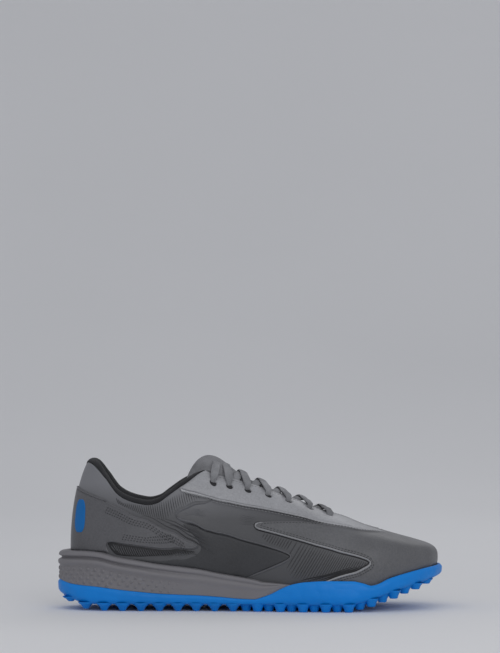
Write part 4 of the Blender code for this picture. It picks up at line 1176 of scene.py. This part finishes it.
def make_counter():
    """The heel counter with its rim, slots and ribs; gives the rows of dots beside its rim."""
    sides, outlines = {}, []
    back = heel_line(lambda t: 0.828 - 0.085 * t**1.5)
    for side in (-1, 1):
        parts = (COUNTER_TOP_PX, COUNTER_TIP_PX, COUNTER_LOW_PX, COUNTER_CORNER_PX)
        sides[side] = [px(part, side) for part in parts]
        outlines.append(spline(np.vstack(sides[side]), 0.0010))
    low_height = float(edge("lip", 0.04)) / COLLAR_HEIGHT - 0.004
    heel_low = fan_pattern(HEEL_CENTRE, np.radians(np.linspace(-88, 88, 60)), np.full(60, low_height))
    outline = np.vstack([back[1:-1][::-1], outlines[0], heel_low, outlines[1][::-1]])
    panel("counter_shell", outline, COUNTER, 0.0012, 0.0010, 0.0022, node="heel_counter")
    rims, rows, slots = [], [], []
    for side in (-1, 1):
        upper, tip, lower, corner = sides[side]
        whole = spline(np.vstack([upper, tip, lower, corner[:2]]), 0.001)
        rims.append(moved(whole, side * 0.0010))
        for away in (0.0034, 0.0050, 0.0066):
            dots = moved(whole, side * away)
            rows.append(cut(dots, 0.02, 0.38))
            rows.append(cut(dots, 0.62, 0.93))
        for x in np.arange(112, 193, 2.3):
            high, tall = row_px(SLOT_RIB_TOP_PX, x), row_px(SLOT_RIB_TALL_PX, x)
            line = [(x, high), (x + 2.2, high + tall * 0.5), (x + 5.0, high + tall)]
            slots.append(spline(px(line, side), 0.0012))
        hole = spline(px(SLOT_PX, side), 0.0012, closed=True)
        # The slot is a dark sheet: painted shade in the recess.
        panel("counter_slot_" + side_name(side), hole, RECESS_SHADE, 0.00025, 0.0010, 0.0024)
    rims.append(back)
    ridges("counter_rim", rims, COUNTER, 0.0012, 0.0005, base=0.0010)
    ridges("counter_slot_ribs", slots, SLOT_RIB, 0.0010, 0.00080, taper=0.25)
    return rows


# Photo points of the other overlays
EYESTAY_PX = [(380, 536.5), (365, 534), (350, 531), (335, 528), (320, 525), (300, 519), (280, 514),
              (260, 509.5), (240, 505.5), (220, 501), (204, 496.3), (190, 492.2), (180, 489.0)]
VAMP_LOW_PX = [(256, 530), (268, 533.5), (280, 537), (300, 543), (320, 549), (340, 555),
               (358, 559.8), (366.5, 563.5)]
VAMP_TIP_PX = [(366, 566.5), (361, 569.5), (350, 574), (330, 579.3), (316, 584.0)]
VAMP_NOSE_PX = [(262, 523.2), (255.5, 524.2), (253.6, 526.6)]
VAMP_TOP_PX = [(320, 526.0), (300, 523.8), (280, 523.0), (262, 523.2)]
LOWER_PX = [(181, 521.0), (200, 527.8), (220, 534.8), (240, 540.8), (260, 546.8), (280, 552.8),
            (287.5, 557.5)]
WING_RIM_PX = [(216, 499.2), (200, 503.6), (186, 508.2), (178.5, 512.0), (176.8, 515.2), (180, 518.8),
               (200, 526.2), (220, 533.2), (240, 539.4), (260, 545.2), (278, 551.2), (286.5, 555.0),
               (288.2, 558.4), (283, 562.3), (270, 568.0), (257, 573.2), (243, 578.4)]
LOWER_BACK_PX = [(285, 561.5), (278, 564.5), (268, 568.5), (258, 572.5), (243, 579)]
LOWER_LEFT_PX = [(113, 555.5), (121, 556.0), (150, 557.0), (175, 556.5), (192, 554), (200, 547.5), (197, 540),
                 (189, 531.5), (181, 523)]
RIB_TOP_PX = [(112, 491), (125, 501), (145, 504), (165, 500.5), (180, 494), (198, 489)]
RIB_LOW_PX = [(112, 501.0), (125, 507.0), (145, 517), (165, 523), (175, 513.0), (198, 501.5)]
WINDOW_TOP_PX = [(256, 532.0), (280, 539.0), (320, 551.0), (366, 565), (374, 568)]
WINDOW_LOW_PX = [(256, 534), (268, 544.5), (288, 552), (291, 570), (300, 581), (320, 584), (366, 568)]

# Fans of photo lines: the first line's places, and how far they move to the last line or the next one
SWEPT_PX = [(144, 37, 515.5, 5.5), (165, 28, 524.5, 1.2), (184, 23, 535.0, -4.0), (201, 20, 545.5, -10.5),
            (222, 20, 554.5, -13.5), (245, 20, 560.5, -13.0)]
WING_FRONT_PX = [(236, 0, 515, 9), (247, 0, 517.5, 8), (258, 0, 519.5, 5.0)]
WING_BACK_PX = [(181, 3, 514.5, 2), (196, 0, 509.5, 5.5), (214, 0, 505.5, 8)]
DEEP_PX = [(366, -5, 566.5, 0.6), (352, -6, 572, 0.4), (337, -8, 577, 0.3), (322, -9, 581, 0.3)]
FAN_LINES = 6
DEEP_LINES = 4

# Flex creases of the toe: share of LENGTH, how far they bend back, depth and half width
TOE_CREASES = ((0.775, 0.9, 0.00030, 0.006), (0.808, 0.6, 0.00022, 0.005))


def make_vamp():
    """The toe overlay with its tails, rims and grooves; gives its stitch rows."""
    angles = np.radians(np.linspace(-88, 88, 90))
    near = TOE_CENTRE + 0.001 * np.column_stack([np.cos(angles), np.sin(angles)])
    share = feet(near[:, 0], near[:, 1])[0][:, 0] / LENGTH
    toe = fan_pattern(TOE_CENTRE, angles, (edge("cup", share) - 0.0010) / COLLAR_HEIGHT)
    halves = {}
    for side in (-1, 1):
        low = spline(px(VAMP_TOP_PX + [(254, 526)] + VAMP_LOW_PX + VAMP_TIP_PX, side), 0.0012)
        under = strip_line([(0.735, 0.0040), (0.730, 0.012)], side)
        halves[side] = (under, low, rest_line(0.708, TOE_AXIS - 0.002, "cup", side, 0.0010))
    outline = np.vstack([*halves[-1], toe, *(line[::-1] for line in halves[1][::-1])])

    def crease(flat, gap):
        """Soft troughs across the flex of the toe, deeper towards the sides."""
        share = flat[:, 0] / LENGTH
        side = flat[:, 1] - section("spine", share) * BALL_WIDTH
        depth = np.zeros(len(flat))
        for middle, bend, deep, wide in TOE_CREASES:
            line = middle - bend * np.abs(side) ** 1.3 - share
            depth += deep * np.exp(-((line * LENGTH / wide) ** 2)) * np.clip(np.abs(side) / 0.02, 0.25, 1)
        return -depth * np.clip(gap / 0.004, 0, 1)

    panel("vamp_leather", thinned(outline, 0.0004), VAMP, 0.0010, 0.0008, 0.0023, node="vamp", form=crease)
    rows, rims, grooves = [], [], []
    for side in (-1, 1):
        low = spline(px([(258, 530.5)] + VAMP_LOW_PX[1:] + VAMP_TIP_PX[:-1], side), 0.0012)
        rows.append(moved(low, -side * 0.0016))
        rows.append(moved(low, -side * 0.0030))
        top = spline(px([(258, 524.5)] + VAMP_TOP_PX[::-1], side), 0.0012)
        rows.append(moved(top, side * 0.0015))
        rim = spline(px(VAMP_NOSE_PX + VAMP_LOW_PX + VAMP_TIP_PX, side), 0.0010)
        rims.append(moved(rim, -side * 0.0005))
        grooves.append(moved(rim, side * 0.0007))
    # The rim is a real raised ridge; its lighter colour is a painted highlight.
    ridges("vamp_rim", rims, VAMP_RIM_HIGHLIGHT, 0.0013, 0.00075, base=0.0008, taper=0.05)
    # The groove is a dark strip: a painted shadow beside the vamp's rim.
    ridges("vamp_groove", grooves, RECESS_SHADE, 0.0014, 0.00020, taper=0.08)
    return rows


# Front of each eyestay and its point over the toe. Shares of LENGTH, distances from the middle line
EYESTAY_FRONT = ((0.715, 0.0092), (0.740, 0.0090), (0.770, 0.0094), (0.800, 0.0103), (0.824, 0.0122))
EYESTAY_NOSE = ((0.842, 0.0150), (0.854, 0.0182), (0.852, 0.0192))
EYELET_SIDES = 14


def eyelet_pattern(share, side, reach=EYELET_EDGE_DISTANCE):
    """The pattern point of an eyelet, or of a place at another distance from the throat's edge."""
    edge_point = rim_line(share, share + 1e-4, side, count=2)[0]
    spine = float(section("spine", share)) * BALL_WIDTH
    gap = max(abs(edge_point[1] - spine), VAMP_STRIP_HALF_WIDTH) + reach
    return np.array([share * LENGTH, spine + side * gap])


def make_eyestay(side):
    """One facing with its eyelet holes, rim and groove; gives its stitch rows."""
    throat = rim_line(0.315, 0.700, side, 0.0002, 94)
    low = px(EYESTAY_PX, side)
    run = spline(np.vstack([strip_line(EYESTAY_FRONT + EYESTAY_NOSE, side), low]), 0.0011)
    outline = thinned(np.vstack([throat, run]), 0.0003)
    turn = np.linspace(0, 2 * math.pi, EYELET_SIDES, endpoint=False)
    ring = np.column_stack([np.cos(turn), np.sin(turn)])
    holes = [eyelet_pattern(share, side) + ring * EYELET_RADIUS for share in EYELETS]
    name = "eyestay_" + side_name(side)
    panel(name + "_facing", outline, STAY, 0.0011, 0.0007, 0.0022, holes=holes, node=name, base=0.0004)
    edge_low = spline(low, 0.0012)
    rows = [moved(cut(edge_low, 0.03, last), -side * away) for last, away in ((0.97, 0.0016), (0.80, 0.0031))]
    rows.append(rim_line(0.392, 0.690, side, 0.0030, 80))
    rim, groove = (moved(cut(edge_low, 0.02, 0.995), way * 0.0006) for way in (-side, side))
    # The rim is a real raised ridge; its lighter colour is a painted highlight.
    ridges(name + "_rim", [rim], STAY_RIM_HIGHLIGHT, 0.0012, 0.0006, base=0.0011)
    # A dark strip beside the rim: a painted shadow under the facing's edge.
    ridges(name + "_groove", [groove], RECESS_SHADE, 0.0011, 0.0002, taper=0.1)
    # Dark discs in the eyelet holes: painted shade.
    discs, faces, start = [], [], 0
    for hole in holes:
        middle = hole.mean(axis=0)
        for share in (0.02, 0.6, 1.0):
            discs.append(on(middle + (hole - middle) * share * 1.05, 0.00025))
        faces += [[start + k for k in f] for f in grid_faces(3, EYELET_SIDES)]
        faces.append([start + k for k in range(EYELET_SIDES)][::-1])
        start += 3 * EYELET_SIDES
    add_piece(name + "_eyelet_shade", np.vstack(discs), faces, RECESS_SHADE)
    return rows


def fade(flat, points, side, reach):
    """0 on a line of photo points and 1 at a distance from it."""
    line = spline(px(points, side), 0.002)
    near = np.min(np.linalg.norm(flat[:, None] - line[None], axis=2), axis=1)
    return np.clip(near / reach, 0, 1) ** 1.5


def make_quarter():
    """The lower quarter panel, the wing's rim, the ribs of collar and window, and the swept lines."""
    ribs, swept, window, deep, rims, grooves, wing = [], [], [], [], [], [], []
    for side in (-1, 1):
        sole = rest_line(0.455, 0.136, "lip", side, 0.0008, 80)
        front, left = (spline(px(line, side), 0.0012) for line in (LOWER_PX + LOWER_BACK_PX, LOWER_LEFT_PX))
        outline = thinned(np.vstack([front, sole, left]), 0.0004)

        def thin(flat, gap, side=side):
            return -0.0004 * (1 - fade(flat, LOWER_LEFT_PX, side, 0.010))

        panel("quarter_lower_" + side_name(side), outline, LOWER, 0.0005, 0.0016, 0.0026, form=thin)
        edge_line = spline(px(WING_RIM_PX, side), 0.0010)
        rims.append(edge_line)
        grooves.append(moved(cut(edge_line, 0.33, 0.97), side * 0.0011))
        for x in np.arange(119, 200, 2.15):
            high, low = row_px(RIB_TOP_PX, x), row_px(RIB_LOW_PX, x)
            if low - high > 2.5:
                line = [(x - 1.6, high), (x - 0.3, (high + low) / 2), (x + 1.8, low)]
                ribs.append(spline(px(line, side), 0.0012))
        for x in np.arange(262, 374, 2.5):
            high, low = row_px(WINDOW_TOP_PX, x), row_px(WINDOW_LOW_PX, x)
            if low - high > 2.0:
                lean = 0.62 * (low - high)
                line = [(x + lean * 0.5, high), (x, (high + low) / 2), (x - lean * 0.5, low)]
                window.append(spline(px(line, side), 0.0014))
        for k in range(DEEP_LINES):
            deep.append(spline(px(spread(DEEP_PX, k), side), 0.0014))
        for k, t in enumerate(np.linspace(0, 1, FAN_LINES)):
            swept.append(spline(px(spread(SWEPT_PX, t)[(k % 3 == 1) :], side), 0.0012))
            wing += [spline(px(spread(lines, t), side), 0.0014) for lines in (WING_FRONT_PX, WING_BACK_PX)]
    # These ribs and lines are drawn dark: painted shade of the grooves between them.
    ridges("quarter_ribs", ribs, GROOVE_SHADE, 0.0009, 0.00030, taper=0.35)
    ridges("quarter_swept_lines", swept, GROOVE_SHADE, 0.0007, 0.00030, base=0.00030, taper=0.4)
    ridges("window_ribs", window, GROOVE_SHADE, 0.0010, 0.00030, taper=0.25)
    # The deep lines and the wing's groove are dark strips: painted shade in grooves.
    ridges("window_deep_lines", deep, RECESS_SHADE, 0.0013, 0.00040, taper=0.3)
    ridges("wing_rim", rims, WING, 0.0017, 0.00080, taper=0.06)
    ridges("wing_groove", grooves, RECESS_SHADE, 0.0008, 0.00045, base=0.0001, taper=0.08)
    ridges("wing_lines", wing, QUARTER_RIB, 0.0008, 0.00030, taper=0.4)


counter_rows = make_counter()
vamp_rows = make_vamp()
stay_rows = make_eyestay(-1) + make_eyestay(1)
make_quarter()
# The vamp's stitches are drawn dark: painted shade of the stitch holes.
stitches("vamp_stitches", vamp_rows, GROOVE_SHADE, 0.0010)
stitches("eyestay_stitches", stay_rows, THREAD, 0.0015)
# The counter's dots are drawn dark: painted shade.
stitches("counter_dots", counter_rows, GROOVE_SHADE, 0.0012, pitch=0.0023, length=0.0011, width=0.0009)


# Lining, tongue, insole and lace

# Section of the collar's padding: distance down from the rim and inwards from the upper's outer face
PADDING = np.array([
    (0.0006, 0.0012), (-0.0004, 0.0002), (-0.0020, -0.0002), (-0.0036, 0.0014), (-0.0042, 0.0036),
    (-0.0030, 0.0060), (0.0000, 0.0076), (0.0040, 0.0080), (0.0072, 0.0074), (0.0086, 0.0066),
    (0.0100, 0.0070), (0.0150, 0.0070), (0.0210, 0.0056), (0.0265, 0.0034), (0.0275, 0.0026),
    (0.0200, 0.0021), (0.0100, 0.0021),
])


def make_lining():
    """The padded collar: a soft roll over the rim and a pad down the inside, with a seam under the roll."""
    last = station(LINING_STATIONS) + 0.012
    shares = np.linspace(HEEL_AXIS, last, 64)
    spine = section("spine", shares) * BALL_WIDTH
    near, far = (feet(shares * LENGTH, spine + side * 0.001) for side in (-1, 1))
    back = HEEL_FAN_STEPS * DENSE
    heel = np.r_[COUNT - back + 1 : COUNT, 0:back]
    parts = [np.concatenate([f[::-1], ring[heel], n]) for f, ring, n in zip(far, (OUT, INWARD, BASE), near)]
    line, length = profiles(*parts)
    top = top_length(line, length, parts[2])
    rim = along_profile(line, length, top)
    below = along_profile(line, length, top + 0.003)
    up = unit(rim - below)
    inward = unit(np.cross(np.gradient(rim, axis=0), up))
    for _ in range(6):
        inward[1:-1] = (inward[:-2] + inward[1:-1] * 2 + inward[2:]) / 4
        up[1:-1] = (up[:-2] + up[1:-1] * 2 + up[2:]) / 4
    inward = unit(inward)
    middle = np.column_stack([np.clip(rim[:, 0], HEEL_CENTRE[0], None), np.zeros(len(rim)), rim[:, 2]])
    inward *= np.sign(np.einsum("ij,ij->i", inward, middle - rim))[:, None]
    count = len(rim)
    ends = np.clip(np.minimum(np.arange(count), np.arange(count)[::-1]) / 14.0, 0.0, 1.0)
    ends = 0.30 + 0.70 * np.sin(ends * math.pi / 2)
    loop = spline(PADDING, 0.0011, closed=True)
    rings = []
    for down, depth in loop:
        padded = np.where(depth > 0.0020, 0.0020 + (depth - 0.0020) * ends, depth)
        if down < 0:
            base = rim - up * (down * ends)[:, None]
        else:
            base = along_profile(line, length, top + down)
        rings.append(base + inward * padded[:, None] - SHIFT)
    faces = grid_faces(len(rings) + 1, count, closed=False)
    total = len(rings) * count
    faces = [tuple(k % total for k in f) for f in faces]
    faces.append(tuple(j * count for j in range(len(rings))))
    faces.append(tuple(j * count + count - 1 for j in range(len(rings)))[::-1])
    far = np.r_[0, np.cumsum(np.linalg.norm(np.diff(rim, axis=0), axis=1))]
    turn = np.r_[0, np.cumsum(np.linalg.norm(np.diff(loop, axis=0), axis=1))]
    uv = np.concatenate([np.column_stack([far, np.full(count, t)]) for t in turn]) * 100
    made = add_piece("collar_padding", np.concatenate(rings), faces, LINING, "collar_lining", uv=uv)


# Rows of the tongue, from its top: share of LENGTH; height of the middle line, share of COLLAR_HEIGHT;
# share of its full width; thickness
TONGUE_PAD = (
    (0.336, 0.905, 0.66, 0.0070),
    (0.344, 0.950, 0.84, 0.0090),
    (0.356, 0.994, 0.93, 0.0100),
    (0.370, 1.026, 0.98, 0.0090),
    (0.388, 1.044, 1.00, 0.0072),
    (0.408, 1.036, 1.00, 0.0058),
    (0.432, 1.008, 1.00, 0.0048),
    (0.480, 0.950, 1.00, 0.0042),
)


TONGUE_TOP = TONGUE_PAD[0][0]
TONGUE_SEAT = 0.425
TONGUE_END = 0.700
TONGUE_SMOOTHING = 36
QUILT_DEPTH = 0.00020
QUILT_PITCH = 0.0042


def tongue_row(share, across):
    """A row of the tongue's top face, its normals and its thickness, at a share of the length."""
    rows = np.array(TONGUE_PAD)
    last = rows[-1, 0]
    high, taper, thick = (float(smooth(rows[:, 0], rows[:, k], min(share, last))) for k in (1, 2, 3))
    seat = max(share, TONGUE_SEAT)
    half = taper * TONGUE_HALF_WIDTH
    x, spine = seat * LENGTH, float(section("spine", seat)) * BALL_WIDTH
    points = np.column_stack([np.full(len(across), x), spine + across * half])
    normal = unit(lookup(NORMAL, points[:, 0], points[:, 1]))
    crown = on([(x, spine)])[0]
    raised = 0.0016 * float(np.clip((0.66 - share) / 0.12, 0, 1))
    sunk = UPPER_WALL + 0.0009
    shown = np.clip(1 - (across * half / (THROAT_FRONT_GAP * 0.95)) ** 2, 0, 1)
    face = on(points) - normal * (sunk - (sunk - 0.0004 + raised) * shown)[:, None]
    blend = float(np.clip((last - share) / (last - TONGUE_SEAT), 0, 1))
    face[:, 0] += (share - seat) * LENGTH
    face[:, 2] += blend * (high * COLLAR_HEIGHT - crown[2])
    return face, normal, thick


def make_tongue():
    """The padded tongue: crowned, with a thick rolled top edge, and smoothed, which leaves little quilting."""
    shares = np.concatenate([np.linspace(TONGUE_TOP, 0.404, 32), np.linspace(0.408, TONGUE_END, 64)])
    across = np.linspace(-1, 1, 41)
    top, low, uvs = [], [], []
    for share in shares:
        face, normal, thick = tongue_row(share, across)
        roll = math.sqrt(max(0.0, 1 - (1 - min((share - TONGUE_TOP) / 0.018, 1.0)) ** 2))
        side = np.sqrt(np.clip(1 - np.abs(across) ** 5, 0, 1))
        pad = thick * np.clip(roll, 0.06, 1) * np.clip(side, 0.10, 1)
        sag = thick * 0.5 * (1 - roll)
        wave = QUILT_DEPTH * math.cos(share * LENGTH / QUILT_PITCH * math.pi) * (share > 0.385)
        top.append(face - normal * (sag + 0.0011 * (1 - side) - wave * side)[:, None])
        low.append(face - normal * (sag + pad + 0.0011 * (1 - side))[:, None])
        uvs.append(np.column_stack([np.full(len(across), share * LENGTH), across * TONGUE_HALF_WIDTH]))
    count, steps = len(across), len(shares)
    vertices = np.concatenate(top + low)
    grid = grid_faces(steps, count, closed=False)
    offset = steps * count
    faces = grid + [tuple(offset + k for k in f[::-1]) for f in grid]
    for i in range(steps - 1):
        for j in (0, count - 1):
            a, b = i * count + j, (i + 1) * count + j
            faces.append((a, b, offset + b, offset + a))
    for j in range(count - 1):
        for i in (0, steps - 1):
            a, b = i * count + j, i * count + j + 1
            faces.append((a, b, offset + b, offset + a))
    made = add_piece("tongue_pad", vertices, faces, TONGUE_CLOTH, "tongue", uv=np.concatenate(uvs * 2) * 100)
    tidy = bmesh.new()
    tidy.from_mesh(made.data)
    bmesh.ops.recalc_face_normals(tidy, faces=tidy.faces)
    axes = {"use_axis_" + axis: True for axis in "xyz"}
    for _ in range(TONGUE_SMOOTHING):
        bmesh.ops.smooth_vert(tidy, verts=tidy.verts, factor=0.5, **axes)
    tidy.to_mesh(made.data)
    tidy.free()
    made.data.shade_smooth()


def lace_path(share, side, target):
    """A strip from one eyelet over the facing and the tongue to under the facing of the other side."""
    start = eyelet_pattern(share, side, EYELET_EDGE_DISTANCE - 0.0012)
    end = eyelet_pattern(target, -side, 0.0042)
    top = OVERLAY_GAP + OVERLAY_THICKNESS
    keys = np.array([0.0, 0.02, 0.06, 0.16, 0.30, 0.5, 0.72, 0.86, 0.94, 1.0])
    over = 0.0018 if side < 0 else 0.0002
    high = 0.0014 * math.exp(-(((share - 0.42) / 0.07) ** 2)) + 0.0009
    rising = [-0.0012, 0.0008, top + 0.0016, top + 0.0015, 0.0024]
    lift = np.array(rising + [0.0010 + over, 0.0006, 0.0, -0.0012, -0.0018])
    lift = lift + high * np.array([0, 0, 0.1, 0.5, 0.9, 1, 0.8, 0.3, 0, 0])
    points = start + (end - start) * keys[:, None]
    return points, lift


STRIP_WIDTH = 0.0064
STRIP_THICKNESS = 0.0016


def strip_mesh(paths, name, width=STRIP_WIDTH, thick=STRIP_THICKNESS):
    """Flat lace strips with rounded sides, joined in one mesh."""
    vertices, faces, uvs, start = [], [], [], 0
    turn = np.linspace(0, 2 * math.pi, 16, endpoint=False)
    for points, lift in paths:
        run = np.r_[0, np.cumsum(np.linalg.norm(np.diff(points, axis=0), axis=1))]
        at = np.linspace(0, run[-1], 56)
        flat = np.column_stack([np.interp(at, run, points[:, k]) for k in (0, 1)])
        rise = smooth(run, lift, at)
        centre = on(flat, rise)
        normal = lookup(NORMAL, flat[:, 0], flat[:, 1])
        along = unit(np.gradient(centre, axis=0))
        side = unit(np.cross(normal, along))
        upward = np.cross(along, side)
        pinch = 1 - 0.42 * np.exp(-((at / 0.0030) ** 2))
        for angle in turn:
            a, b = math.cos(angle), math.sin(angle)
            flatten = math.copysign(abs(b) ** 0.7, b)
            vertices.append(centre + side * (a * width / 2 * pinch)[:, None] + upward * flatten * thick / 2)
            uvs.append(np.column_stack([at, np.full(len(at), angle * width / math.pi)]))
        count = len(at)
        for f in grid_faces(len(turn) + 1, count, closed=False):
            faces.append([start + k % (len(turn) * count) for k in f])
        faces.append([start + j * count for j in range(len(turn))])
        faces.append([start + j * count + count - 1 for j in range(len(turn))][::-1])
        start += len(turn) * count
    return add_piece(name, np.vstack(vertices), faces, LACE, "laces", uv=np.vstack(uvs) * 100)


def make_laces():
    """The crossed strips between the eyelets and the straight one in front."""
    paths = []
    for side in (1, -1):
        for k in range(1, len(EYELETS)):
            paths.append(lace_path(EYELETS[k], side, EYELETS[k - 1] + 0.012))
        points, lift = lace_path(EYELETS[0], side, EYELETS[0] + 0.010)
        paths.append((points[:7], lift[:7] - np.array([0, 0, 0, 0, 0, 0.0006, 0.0016])))
    front = EYELETS[-1]
    ends = [eyelet_pattern(front, s) for s in (-1, 1)]
    keys = np.array([0.0, 0.04, 0.12, 0.3, 0.5, 0.7, 0.88, 0.96, 1.0])[:, None]
    top = OVERLAY_GAP + OVERLAY_THICKNESS
    lift = np.array([-0.0012, 0.0008, top + 0.0006, 0.0012, 0.0008, 0.0012, top + 0.0006, 0.0008, -0.0012])
    paths.append((ends[0] + (ends[1] - ends[0]) * keys, lift))
    strip_mesh(paths, "lace_strips")


# Heel patch: angles in degrees from the back, heights as shares of COLLAR_HEIGHT
PATCH_ANGLE, PATCH_HALF_ANGLE = 41, 13
PATCH_HEIGHT, PATCH_HALF_HEIGHT = 0.635, 0.115


def make_heel_patch():
    """A plain rounded patch on each side of the heel."""
    turn = np.linspace(0, 2 * math.pi, 48, endpoint=False)
    wide = np.sign(np.cos(turn)) * np.abs(np.cos(turn)) ** 0.7
    tall = np.sign(np.sin(turn)) * np.abs(np.sin(turn)) ** 0.7
    for side in (-1, 1):
        angles = np.radians(side * (PATCH_ANGLE + PATCH_HALF_ANGLE * wide))
        outline = fan_pattern(HEEL_CENTRE, angles, PATCH_HEIGHT + PATCH_HALF_HEIGHT * tall)
        panel("heel_patch_" + side_name(side), outline, PATCH, 0.0005, 0.0007, 0.0018, base=0.0011)


TONGUE_CLOTH = textile("tongue_cloth", (0.215, 0.215, 0.226), 0.0012, 0.9, 0.1)
PATCH = rubber("patch_blue", (0.002, 0.140, 0.430), 0.5, 0.2, specular=0.25)
make_lining()
make_tongue()
make_laces()
make_heel_patch()
INSOLE_CLOTH = leather("insole_cloth", (0.028, 0.028, 0.031), 0.9, 1.0)
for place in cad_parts["insole"].material_slots:
    place.material = INSOLE_CLOTH


# Lights, stage and camera
LIGHT_AIM = (0.0, 0.0, 0.05)


def light(name, place, size, power):
    """A white area light that looks at the shoe; power in watts."""
    lamp = bpy.data.lights.new(name, "AREA")
    lamp.shape = "RECTANGLE"
    lamp.size, lamp.size_y = size
    lamp.energy = power
    made = bpy.data.objects.new(name, lamp)
    made.location = place
    made.rotation_euler = (Vector(LIGHT_AIM) - Vector(place)).to_track_quat("-Z", "Y").to_euler()
    bpy.context.scene.collection.objects.link(made)


# The stage's floor bends up behind the shoe with a radius
STAGE_BEND = 1.2
STAGE_RADIUS = 1.6


def make_stage():
    """A pale floor that curves up behind the shoe."""
    bend = np.linspace(0.1, math.pi / 2, 14)
    end = STAGE_BEND + STAGE_RADIUS
    ys = [-4.0, STAGE_BEND, *(STAGE_BEND + STAGE_RADIUS * math.sin(a) for a in bend), end]
    zs = [0.0, 0.0] + [STAGE_RADIUS * (1 - math.cos(a)) for a in bend] + [5.0]
    vertices = [(x, y, z) for y, z in zip(ys, zs) for x in (-5.0, 5.0)]
    faces = [(2 * i, 2 * i + 1, 2 * i + 3, 2 * i + 2) for i in range(len(ys) - 1)]
    mesh = bpy.data.meshes.new("studio_floor")
    mesh.from_pydata(vertices, [], faces)
    mesh.shade_smooth()
    pale = Nodes("studio_pale", 0.7, specular=0.2)
    pale.colour(pale.noise(1.2, 2.0), ((0.3, (0.80, 0.80, 0.81)), (0.7, (0.83, 0.83, 0.84))))
    mesh.materials.append(pale.material)
    made = bpy.data.objects.new("studio_floor", mesh)
    bpy.context.scene.collection.objects.link(made)


def make_camera():
    """The camera of the photograph."""
    data = bpy.data.cameras.new("camera")
    data.sensor_fit = "HORIZONTAL"
    data.sensor_width = 36.0
    data.lens = data.sensor_width * CAMERA_DISTANCE / VIEW_WIDTH
    data.clip_end = 100.0
    made = bpy.data.objects.new("camera", data)
    made.location = (CAMERA_X, -CAMERA_DISTANCE, CAMERA_HEIGHT)
    aim = Vector((0.0, AIM_DEPTH, AIM_HEIGHT)) - made.location
    turn = aim.to_track_quat("-Z", "Y").to_matrix()
    made.rotation_euler = (turn @ Matrix.Rotation(math.radians(CAMERA_ROLL), 3, "Z")).to_euler()
    bpy.context.scene.collection.objects.link(made)
    bpy.context.scene.camera = made


def make_world():
    """An even, slightly cool light from all around."""
    world = bpy.data.worlds.new("studio")
    world.use_nodes = True
    back = world.node_tree.nodes["Background"]
    back.inputs["Color"].default_value = (0.93, 0.95, 1.0, 1.0)
    back.inputs["Strength"].default_value = 0.5
    bpy.context.scene.world = world


make_stage()
make_camera()
make_world()
light("key_top", (-0.25, -0.35, 1.5), (1.6, 1.1), 2.1)
light("fill_front", (0.5, -1.8, 0.7), (1.6, 1.2), 8.5)
light("rim_back", (0.5, 1.2, 1.0), (1.0, 0.6), 1.6)
bpy.context.scene.view_settings.view_transform = "Standard"
